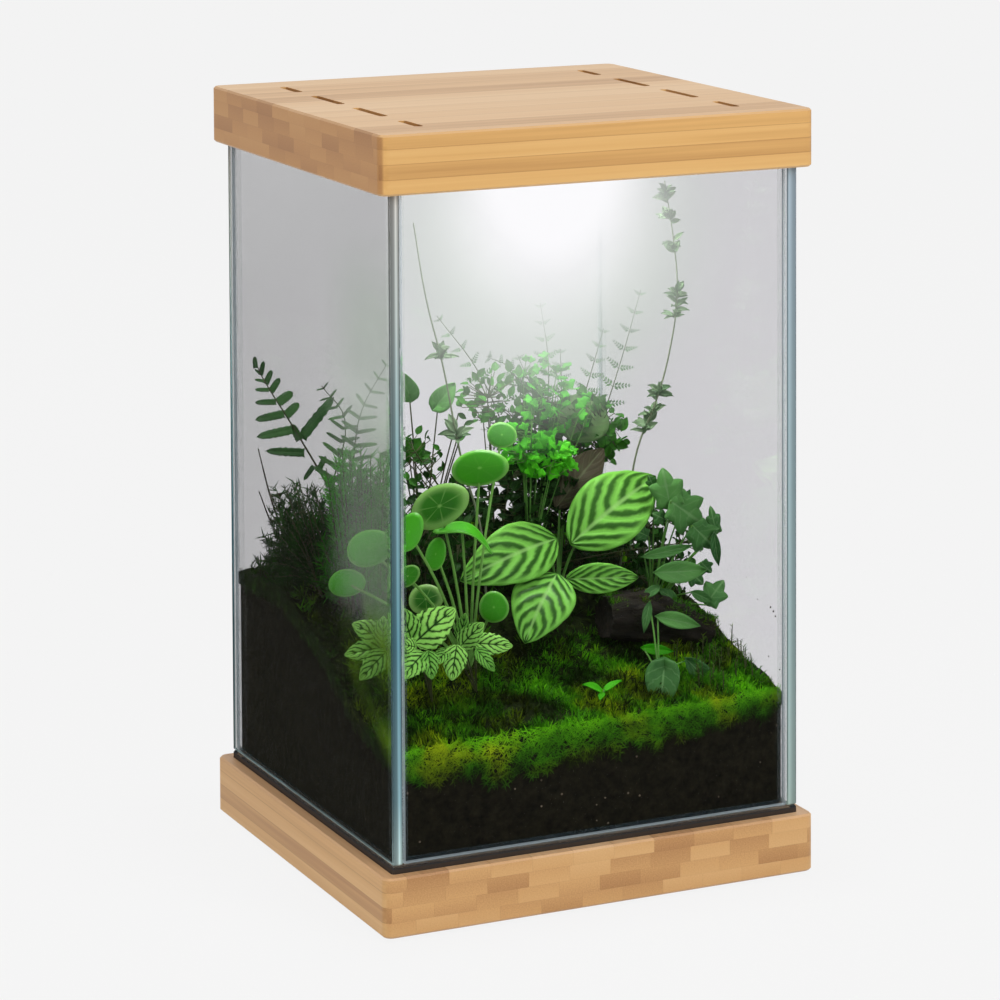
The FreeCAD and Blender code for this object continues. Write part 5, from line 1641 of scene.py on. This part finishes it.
def filled(name, node, root_shares, regions, shape, width, finish, diameter, seed, droop=0.0):
    """A plant that fills regions. A region is (middle, radii, depths, count, lengths, tones)."""
    dice = random.Random(seed)
    root = on_moss(*root_shares)
    ends = [in_region(dice, region)[0] for region in regions for _ in range(5)]
    shares = np.linspace(0.35, 1, 24)
    samples = np.array([list(on_stem(root, end, share)) for end in ends for share in shares])
    lines = [
        ([root, root + (end - root) * 0.5 + UP * 0.025 * (end - root).length, end], 0.5) for end in ends]
    copies = [(stems(lines, diameter, finish), None, 0.4)]
    thin = []
    for region in regions:
        for _ in range(region[3]):
            point, tone = in_region(dice, region)
            reach = random_vector(dice, 1) + UP * (0.5 - droop)
            facing = FRONT_UP + random_vector(dice, 0.6)
            tip = point + reach.normalized() * dice.uniform(*region[4]) * MM
            keep_inside(tip)
            copies.append((shape, lay_leaf(point, tip, facing, width), tone))
            thin.append(([Vector(nearest(samples, point)), point], 0.7))
    copies.append((stems(thin, diameter * 0.5, finish, 0, 1), None, 0.5))
    gather(name, copies, [node])


print("regions ready")

# %% [markdown]
# The dark bush fills the middle of the tank. One ball of leaves would look clipped, so seven regions of
# different size, depth and tone make its outline uneven.

# %% Dark bush
# Tones run from near black low in front to light at the top: the dark low end of bush_leaf is painted shade
# under the large leaves above.
BUSH_REGIONS = (
    ((520, 500), (80, 40), (-0.06, 0.18), 460, (4.5, 8.0), (0.0, 0.18)),
    ((565, 435), (58, 44), (0.05, 0.35), 300, (4.0, 7.5), (0.3, 0.95)),
    ((612, 562), (58, 38), (-0.05, 0.22), 260, (4.0, 7.0), (0.0, 0.25)),
    ((432, 545), (40, 52), (-0.2, 0.1), 300, (4.0, 7.0), (0.0, 0.3)),
    ((418, 462), (26, 30), (-0.05, 0.2), 60, (3.5, 6.0), (0.1, 0.6)),
    ((505, 398), (46, 28), (0.1, 0.35), 110, (4.0, 7.0), (0.5, 1.0)),
    ((668, 552), (40, 44), (-0.2, 0.1), 130, (3.0, 5.5), (0.0, 0.45)),
)
filled("dark_foliage", "dark_bush", (-0.06, 0.02), BUSH_REGIONS, dark_oval, 0.62, stalk_dark,
       1.0 * MM, 15)

# %% [markdown]
# The maidenhair has bright, lobed, fan-shaped leaflets. A disc would have its stalk in the wrong place,
# so a strip is opened round its base like a fan, and its far edge is waved.

# %% Maidenhair


def fan(along, side):
    """Moves a strip round its base, so that it spreads like a fan with a lobed edge."""
    angle = side * 1.05
    return along * (1 + 0.16 * math.cos(8 * angle) * along) * math.cos(angle) - along


fan_leaf = shape_leaf(
    bright_leaf, (4, 12), lambda along: 0.8 * along, lambda along, side: 0.05 * side * side, fan, 0.03)
MAIDENHAIR_REGIONS = (
    ((545, 458), (30, 22), (-0.17, -0.06), 62, (3.6, 5.6), (0.4, 1.0)),
    ((520, 452), (22, 24), (-0.14, -0.02), 34, (3.4, 5.2), (0.3, 0.9)),
    ((560, 410), (34, 26), (-0.1, 0.1), 34, (3.4, 5.2), (0.2, 0.7)),
    ((545, 372), (26, 18), (0.0, 0.2), 18, (3.0, 4.6), (0.2, 0.6)),
)
filled("maidenhair", "maidenhair_fern", (0.12, 0.02), MAIDENHAIR_REGIONS, fan_leaf, 1.0,
       stalk_green, 0.8 * MM, 31, 0.2)

# %% [markdown]
# Clubmoss has needles all round its shoots. Each needle is a strip of two faces, because there are
# thousands. They are set round a route at random shares of its length.

# %% Needles
club_leaf = leaf_finish(
    "club_leaf", (0.004, 0.018, 0.003), (0.05, 0.34, 0.012), (0.05, 0.2, 0.02), glow=0.4)
needle = shape_leaf(
    club_leaf, (2, 1), lambda along: 0.07 * (1 - along) + 0.012, lambda along, side: 0.15 * along)


def along_route(route, share):
    """The point and the direction at a share of a route through points."""
    spans = [(after - point).length for point, after in zip(route, route[1:])]
    distance = share * sum(spans)
    step = 0
    while step < len(spans) - 1 and distance > spans[step]:
        distance -= spans[step]
        step += 1
    ahead = (route[step + 1] - route[step]).normalized()
    return route[step] + ahead * distance, ahead


def needled(dice, route, shape, count, lengths, tones):
    """Needles all round a route."""
    copies = []
    for _ in range(count):
        share = dice.uniform(0.1, 1.0)
        point, ahead = along_route(route, share)
        side = ahead.orthogonal().normalized()
        side.rotate(Matrix.Rotation(dice.uniform(0, math.tau), 3, ahead))
        reach = (side + ahead * dice.uniform(0.3, 1.0)).normalized()
        tip = point + reach * dice.uniform(*lengths) * MM
        keep_inside(tip)
        copies.append((shape, lay_leaf(point, tip, FRONT_UP), dice.uniform(*tones)))
    return copies


print("needles ready")

# %% [markdown]
# The clubmoss is a tuft of upright shoots at the left. Shoots from a single root would look like a fan,
# so each starts from its own foot, part of the way from the root to below its tip.

# %% Clubmoss
# The two regions at the back get near-black tones: painted shade against the left pane.
CLUBMOSS_REGIONS = (
    ((360, 480), (36, 38), (-0.02, 0.25), 80, (3.5, 6.5), (0.6, 1.0)),
    ((302, 515), (50, 36), (0.3, 0.62), 86, (3.0, 6.0), (0.0, 0.15)),
    ((355, 565), (42, 46), (0.0, 0.3), 70, (3.0, 6.0), (0.2, 0.7)),
    ((280, 566), (42, 38), (0.45, 0.9), 76, (3.0, 6.0), (0.0, 0.08)),
)
dice = random.Random(61)
root = on_moss(-0.66, 0.16)
copies, lines = [], []
for region in CLUBMOSS_REGIONS:
    for _ in range(region[3]):
        tip, _ = in_region(dice, region)
        floor_point = on_moss(tip.x / BED * 0.96, tip.y / BED)
        foot = floor_point + (root - floor_point) * 0.35
        foot.z = min(drop(foot.x, foot.y)[0].z - MM, tip.z - 4 * MM)
        route = [foot, foot + (tip - foot) * 0.5 + UP * 3 * MM, tip]
        lines.append((route, 0.4))
        copies += needled(dice, route, needle, 60, region[4], region[5])
copies.append((stems(lines, 1.0 * MM, stalk_dark, 0, 3), None, 0.3))
gather("clubmoss_tuft", copies, ["clubmoss"])

# %% [markdown]
# The sword fern in the back corner has a few long blunt leaflets with a wavy edge. Pairs along a route
# would do for most ferns, but this one stands as a silhouette against the pale wall, so its leaflets are
# placed one by one. The two fronds beside it are made of pairs.

# %% Sword fern


def wavy(along):
    """A blunt half width with a wavy edge."""
    return 0.5 * (0.84 + 0.12 * math.cos(along * 50)) * (1 - along ** 5) ** 0.6


pinna = shape_leaf(
    fern_leaf, (14, 3), wavy, lambda along, side: 0.06 * abs(side) - 0.05 * along ** 2, thickness=0.02)
FERN_DEPTH = 0.8
# Start and tip in the picture, share of width
SWORD_LEAFLETS = (
    ((256, 368), (249, 357), 0.5), ((260, 373), (247, 370), 0.42), ((261, 375), (264, 361), 0.42),
    ((264, 381), (250, 380), 0.38), ((266, 384), (272, 370), 0.48), ((269, 390), (251, 390), 0.34),
    ((271, 392), (280, 378), 0.5), ((276, 402), (251, 403), 0.32), ((278, 403), (293, 392), 0.62),
    ((284, 414), (255, 420), 0.32), ((286, 416), (299, 403), 0.6), ((292, 430), (257, 437), 0.29),
    ((300, 440), (292, 424), 0.5), ((304, 453), (266, 451), 0.25), ((302, 438), (334, 397), 0.24),
    ((314, 466), (304, 480), 0.36), ((318, 472), (326, 456), 0.4), ((326, 486), (342, 474), 0.32),
)
SWORD_SPINE = (
    (342, 508), (326, 482), (312, 458), (300, 438), (286, 415), (272, 393), (260, 372), (250, 358))
root = on_moss(-0.62, 0.66)
spine = [seen_at(*mark, FERN_DEPTH) for mark in SWORD_SPINE]
copies = [(stems([([root] + spine, 0.35)], 1.3 * MM, stalk_dark), None, 0.3)]
dice = random.Random(41)
for start_mark, tip_mark, width in SWORD_LEAFLETS:
    matrix = lay_leaf(seen_at(*start_mark, FERN_DEPTH), seen_at(*tip_mark, FERN_DEPTH), FRONT, width)
    copies.append((pinna, matrix, dice.uniform(0.0, 0.5)))


def frond(route, leaflet, length, pairs, width, lean, dice, first=0.26, taper=0.75):
    """Copies of a leaflet in pairs along a route."""
    copies = []
    for pair in range(pairs):
        share = first + (0.98 - first) * pair / (pairs - 1)
        point, ahead = along_route(route, share)
        across = ahead.cross(FRONT).normalized()
        for side in (1, -1):
            reach = (across * side + ahead * lean + UP * dice.uniform(-0.08, 0.08)).normalized()
            tip = point + reach * length * (1 - taper * share ** 2) * dice.uniform(0.88, 1.08)
            keep_inside(tip)
            copies.append((leaflet, lay_leaf(point, tip, FRONT_UP, width), dice.random()))
    return copies


for marks in (((352, 470, 0.6), (362, 410, 0.5), (388, 362, 0.42)),
              ((330, 500, 0.7), (345, 420, 0.6), (322, 386, 0.54))):
    route = [root] + [seen_at(*mark) for mark in marks]
    copies.append((stems([(route, 0.35)], 1.0 * MM, stalk_dark), None, 0.3))
    copies += frond(route, pinna, 13 * MM, 9, 0.28, 0.45, dice, 0.4)
gather("sword_fronds", copies, ["sword_fern"])

# %% [markdown]
# The fine fronds behind the middle are twice divided: each leaflet is a small feather itself. So a
# feather is built from small leaves first, kept as a template, and set along the fronds in pairs that
# shorten towards the tip.

# %% Feather fern
small_leaf = shape_leaf(fern_leaf, (2, 2), oval(0.8, 1.0), lambda along, side: 0.05 * abs(side))
parts = [(stems([([Vector((0, 0, 0)), Vector((1, 0, 0))], 0.4)], 0.035, fern_leaf, 0, 2), None, 0.5)]
for pair in range(5):
    for side in (1, -1):
        start_point = Vector((0.12 + 0.17 * pair, 0, 0))
        tip = start_point + Vector((0.7, side, 0)).normalized() * 0.3 * (1 - 0.13 * pair)
        parts.append((small_leaf, lay_leaf(start_point, tip, UP, 0.5), 0.5))
feather = joined(parts)
FEATHER_FRONDS = (
    ((0.2, 0.36, 0.48), (0.0, 0.34, 0.62), (-0.24, 0.32, 0.72)),
    ((0.3, 0.36, 0.48), (0.18, 0.34, 0.62), (0.02, 0.3, 0.65)),
    ((0.4, 0.42, 0.5), (0.42, 0.43, 0.62), (0.38, 0.44, 0.72)),
    ((0.52, 0.36, 0.5), (0.62, 0.32, 0.62), (0.66, 0.28, 0.68)),
    ((0.6, 0.32, 0.48), (0.74, 0.26, 0.62), (0.84, 0.22, 0.74)),
    ((0.3, 0.3, 0.44), (0.26, 0.2, 0.56), (0.1, 0.1, 0.66)),
    ((0.36, 0.3, 0.46), (0.4, 0.24, 0.58), (0.36, 0.16, 0.66)),
)
dice = random.Random(43)
root = on_moss(0.42, 0.4)
copies, lines = [], []
for shares in FEATHER_FRONDS:
    route = [root] + [place(share) for share in shares]
    lines.append((route, 0.35))
    copies += frond(route, feather, 13 * MM, 11, 1.0, 0.5, dice)
copies.append((stems(lines, 0.9 * MM, stalk_dark), None, 0.5))
gather("feather_fronds", copies, ["feather_fern"])

# %% [markdown]
# Two tall thin stems rise into the haze, with whorls of small leaves whose paleness is partly painted
# haze glow. Leaves spread evenly along them would look like a garland, so they sit round a few stations.

# %% Tall stems


def tall_stem(name, node, root_shares, route_shares, stations, length, seed, finish):
    """A tall thin stem with small leaves round stations along it."""
    dice = random.Random(seed)
    route = [on_moss(*root_shares)] + [place(shares) for shares in route_shares]
    copies = [(stems([(route, 0.5)], 1.2 * MM, finish), None, 0.5)]
    for station in stations:
        point, ahead = along_route(route, station)
        for _ in range(12):
            reach = Vector((dice.uniform(-1, 1), dice.uniform(-0.6, 0.6), dice.uniform(-0.2, 0.8)))
            start_point = point + ahead * dice.uniform(-3, 3) * MM
            tip = start_point + reach.normalized() * length * dice.uniform(0.5, 0.9)
            copies.append((misty_oval,
                           lay_leaf(start_point, tip, FRONT_UP, dice.uniform(0.3, 0.6)),
                           dice.random()))
    gather(name, copies, [node])


VINE_ROUTE = ((0.66, 0.02, 0.39), (0.7, -0.02, 0.5), (0.77, -0.1, 0.583), (0.82, -0.15, 0.665),
              (0.82, -0.23, 0.76), (0.8, -0.23, 0.84), (0.75, -0.23, 0.935))
tall_stem("tall_climber", "tall_vine", (0.62, 0.04), VINE_ROUTE,
          (0.38, 0.42, 0.47, 0.68, 0.72, 0.84, 0.91, 0.96), 9 * MM, 51, misty_stalk)
REED_ROUTE = ((-0.22, -0.18, 0.4), (-0.34, -0.2, 0.53), (-0.46, -0.26, 0.68), (-0.58, -0.34, 0.79),
              (-0.65, -0.36, 0.905))
tall_stem("leaning_reed", "tall_reed", (-0.2, -0.18), REED_ROUTE, (0.45, 0.66), 10 * MM, 52, misty_stalk)

# %% [markdown]
# Dry twigs stand in the back corner. Each forks once, so two curves are enough for one: a long bent one
# and a short one that leaves it.

# %% Dry twigs
TWIG_TIPS = ((-0.95, 0.84, 0.5), (-0.94, 0.86, 0.43), (-0.82, 0.72, 0.44), (-0.9, 0.74, 0.39))
root = on_moss(-0.84, 0.72)
lines = []
for tip_shares in TWIG_TIPS:
    tip = place(tip_shares)
    fork = root + (tip - root) * 0.6
    across = (tip - root).cross(FRONT).normalized()
    bend = root + (tip - root) * 0.3 + across * 1.2 * MM
    lines.append(([root, bend, fork, tip], 0.4))
    lines.append(([fork, fork + across * 9 * MM], 0.5))
gather("dry_twigs", [(stems(lines, 1.4 * MM, bark), None, 0.8)], ["dead_twigs"])

# %% [markdown]
# The log lies in the moss and tapers to the right. It starts as a cylinder, cut into many rings, and is
# then bent along its line and made knotty by moving its points. Displacement would do the same, but it
# wouldn't follow the bend.

# %% Log
LOG_LINE = [place(shares) for shares in ((0.32, -0.42, 0.274), (0.54, -0.42, 0.27), (0.74, -0.44, 0.25),
                                         (0.88, -0.46, 0.232))]
LOG_GIRTH = (0.8, 1.0, 0.86, 0.55)
LOG_RADIUS = 12.0 * MM
start_fresh()
bpy.ops.mesh.primitive_cylinder_add(vertices=40, radius=1, depth=1, end_fill_type="TRIFAN")
log = bpy.context.object
log.name = "weathered_log"
set_mode("EDIT")
bpy.ops.mesh.select_all(action="SELECT")
mesh = bmesh.from_edit_mesh(log.data)
upright_edges = [edge for edge in mesh.edges if abs(edge.verts[0].co.z - edge.verts[1].co.z) > 0.9]
bmesh.ops.subdivide_edges(mesh, edges=upright_edges, cuts=44, use_grid_fill=True)
bmesh.update_edit_mesh(log.data)
set_mode("OBJECT")


def log_point(point):
    """A point of the bent, knotty log from a point of the cylinder."""
    share = point.z + 0.5
    centre, ahead = along_route(LOG_LINE, share)
    step = min(int(share * 3), 2)
    girth = (LOG_GIRTH[step] + (LOG_GIRTH[step + 1] - LOG_GIRTH[step]) * (share * 3 - step)) * LOG_RADIUS
    side = ahead.cross(UP).normalized()
    top = side.cross(ahead)
    angle = math.atan2(point.y, point.x)
    ridges = 1 + 0.07 * math.cos(angle * 9 + 5 * share) + 0.16 * noise.noise(
        Vector((point.x * 2, point.y * 2, share * 9)))
    spread = point.xy.length * girth * min(ridges, 1.05)
    return centre + (side * math.cos(angle) + top * math.sin(angle)) * spread


move_points(log, log_point)
bpy.ops.object.shade_smooth()
log.data.materials.append(bark)
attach(log, "tank")
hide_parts("driftwood")
print("log", len(log.data.polygons), "faces")

# %% [markdown]
# Moss has crept over the log in patches. It uses the tufts of the carpet again, on the upper side only,
# where noise leaves room for it.

# %% Moss on the log
dice = random.Random(77)
log_tufts = [tuft_template(dice, 7) for _ in range(4)]
copies = []
for _ in range(620):
    share = dice.random()
    centre, ahead = along_route(LOG_LINE, share)
    if noise.noise(Vector((share * 7, 1, 4))) + 0.25 * share < dice.uniform(-0.25, 0.35):
        continue
    side = ahead.cross(UP).normalized()
    turn = dice.uniform(0.15, 0.95) * math.pi
    out = side * math.cos(turn) + side.cross(ahead) * math.sin(turn)
    girth = float(np.interp(share * 3, range(4), LOG_GIRTH)) * 11.0 * MM
    length = dice.uniform(2.6, 4.6) * MM
    copies.append((dice.choice(log_tufts), lay_round(centre + out * girth * 0.9, (length, length),
                                                     out + UP * 0.6, dice.uniform(0, 360)),
                   dice.uniform(0.0, 0.5)))
gather("log_moss", copies)

# %% [markdown]
# Upright shoots of moss stand beside the log at the right and show against the wall. Six are given one
# by one and the rest are placed by chance, and each is a short stem with needles.

# %% Moss shoots
SPRIG_PLACES = ((0.96, -0.62), (0.94, -0.74), (0.88, -0.66), (0.97, -0.52), (0.82, -0.7), (0.92, -0.84))
dice = random.Random(71)
copies, lines = [], []
spots = list(SPRIG_PLACES) + [(dice.uniform(0.62, 0.97), dice.uniform(-0.92, -0.42)) for _ in range(34)]
sprig_needle = dict(needle, material=moss_leaf)
for x_share, y_share in spots:
    foot = on_moss(x_share, y_share)
    upwards = Vector((dice.uniform(-0.12, 0.12), dice.uniform(-0.12, 0.12), 1))
    tip = foot + upwards * dice.uniform(6, 11) * MM
    tip.x = min(tip.x, 0.975 * BED)
    route = [foot - UP * 2 * MM, tip]
    lines.append((route, 0.5))
    copies += needled(dice, route, sprig_needle, 22, (1.6, 2.6), (0.0, 0.45))
copies.append((stems(lines, 0.7 * MM, stalk_dark, 0, 2), None, 0.6))
gather("moss_shoots", copies, ["moss_sprigs"])

# %% [markdown]
# Warm damp air under the lamp clouds the inside of the glass. Fog could be a volume, but a volume would
# dim the whole tank and is slow. So the cloud is a thin sheet on the inner face of a pane, part clear and
# part glowing with painted light, and a mask says how much of each. For lamps it is clear.

# %% Films
FILM_TOP = 0.3285


def film(name, start, end, foot, veil):
    """A thin upright sheet on the inside of a pane, with a soft veil of painted light."""
    start_fresh()
    bpy.ops.mesh.primitive_plane_add(size=1)
    sheet = bpy.context.object
    sheet.name = name
    corners = [(*side, height) for height in (foot, FILM_TOP) for side in (start, end)]
    for vertex, corner in zip(sheet.data.vertices, corners):
        vertex.co = corner
    material = bpy.data.materials.new(name)
    material.use_nodes = True
    tree = material.node_tree
    tree.nodes.remove(tree.nodes["Principled BSDF"])
    axes = split(tree, add(tree, "TexCoord").outputs["Object"])
    cover, colour = veil(tree, axes, object_noise(tree, 24.0, 5.0))
    ray = add(tree, "LightPath")
    cover = times(tree, cover, opposite(tree, ray.outputs["Is Shadow Ray"]))
    # Painted light: the cloud glows though it is no lamp.
    white = add(tree, "Emission", {"Color": colour, "Strength": 1.15})
    clear = add(tree, "BsdfTransparent")
    show(tree, mix_shaders(tree, cover, clear, white))
    sheet.data.materials.append(material)
    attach(sheet, "tank")


print("films ready")

# %% [markdown]
# On the front pane the haze glows solid white under the lamp, and below it a pale green-grey veil reaches
# down to the tops of the plants. Both are painted light, each a soft ellipse, and a cloudy noise keeps the
# veil uneven.

# %% Haze under the lamp


def spot(tree, first, second, centre, reach, inner, outer):
    """1 inside an ellipse, 0 outside, soft between."""
    across = calculate(tree, "DIVIDE", minus(tree, first, centre[0]), reach[0])
    up = calculate(tree, "DIVIDE", minus(tree, second, centre[1]), reach[1])
    distance = calculate(tree, "SQRT", plus(tree, times(tree, across, across), times(tree, up, up)))
    return fading(tree, distance, inner, outer)


def front_veil(tree, axes, cloud):
    """The painted glow under the lamp and the painted haze below it."""
    core = spot(tree, axes[0], axes[2], (-0.021, 0.332), (0.06, 0.072), 0.4, 1.35)
    haze = spot(tree, axes[0], axes[2], (-0.024, 0.305), (0.076, 0.078), 0.35, 1.35)
    haze = times(tree, haze, plus(tree, 0.66, times(tree, cloud, 0.4)))
    cover = larger(tree, core, haze)
    return cover, blend(tree, core, (0.64, 0.71, 0.63, 1), (0.98, 0.98, 0.98, 1))


print("haze ready")

# %% [markdown]
# On the left pane the haze lies on the part that is nearest to the viewer. High up it glows pale. Lower
# down its drops glow with the green of the plants behind them, and at the bottom with the brighter green of
# the moss, above the slope of the soil. All of this glow is painted light.

# %% Drops on the left pane


def left_veil(tree, axes, cloud):
    """A pale painted glow thinning out towards the back, and drops below it in the painted green of plants.
    """
    near = fading(tree, axes[1], -0.07, -0.01)
    low = between(tree, axes[2], 0.13, 0.165)
    high = fading(tree, axes[2], 0.26, 0.315)
    pale = between(tree, axes[2], 0.2, 0.24)
    cover = times(tree, near, high, low)
    strength = add(tree, "Mix", {0: pale, 2: 0.22, 3: 0.42}).outputs[0]
    cover = times(tree, cover, plus(tree, strength, times(tree, cloud, 0.5)))
    tint = ramp(tree, cloud, (0.3, (0.52, 0.6, 0.52)), (0.7, (0.6, 0.67, 0.6)))
    green = ramp(tree, cloud, (0.35, (0.015, 0.05, 0.008)), (0.65, (0.06, 0.26, 0.02)))
    green = blend(tree, pale, green, tint)
    above_soil = minus(tree, axes[2], times(tree, axes[1], 0.6))
    damp_glow = times(tree, between(tree, above_soil, 0.126, 0.144), fading(tree, axes[1], -0.085, -0.032))
    damp_glow = times(tree, damp_glow, fading(tree, axes[2], 0.12, 0.165))
    damp_glow = times(tree, damp_glow, between(tree, cloud, 0.3, 0.58))
    moss = ramp(tree, cloud, (0.38, (0.02, 0.055, 0.005)), (0.62, (0.15, 0.29, 0.016)))
    mossy = fading(tree, axes[2], 0.12, 0.15)
    return larger(tree, cover, damp_glow), blend(tree, mossy, green, moss)


print("drops ready")

# %% [markdown]
# A few crumbs of soil stick to the inside of the front pane. They are seen one by one against the wall,
# so they are real flakes in real places, made from a small leaf.

# %% Crumbs on the glass
crumb = dict(small_leaf, material=bark)
# Place in the picture, and length in millimetres
SPECKS = (
    (770, 606, 1.1), (773, 610, 1.2), (775, 615, 1.0), (757, 598, 0.6), (746, 576, 0.5), (768, 655, 0.8),
    (735, 640, 0.5), (778, 690, 1.2), (771, 694, 0.9), (762, 680, 0.7), (752, 668, 0.6), (780, 668, 0.8))
dice = random.Random(81)
copies = []
for across, down, length in SPECKS:
    centre = seen_at(across, down, -1.0) - Vector((0, 0.08 * MM, 0))
    reach = Vector((dice.uniform(-1, 1), 0, dice.uniform(-1, 1))).normalized() * length * 0.5 * MM
    copies.append((crumb, lay_leaf(centre - reach, centre + reach, (0, -1, 0), 0.9), 1.0))
gather("crumbs_on_glass", copies)

# %% [markdown]
# The two films are hung last: one over the whole width of the front pane and one over the depth of the
# left pane, each just inside the glass.

# %% Condensation
inner = BED + 0.15 * MM
film("front_condensation", (-inner, -inner), (inner, -inner), 0.15, front_veil)
film("left_condensation", (-inner, inner), (-inner, -inner), 0.066, left_veil)
print("condensation on two panes")
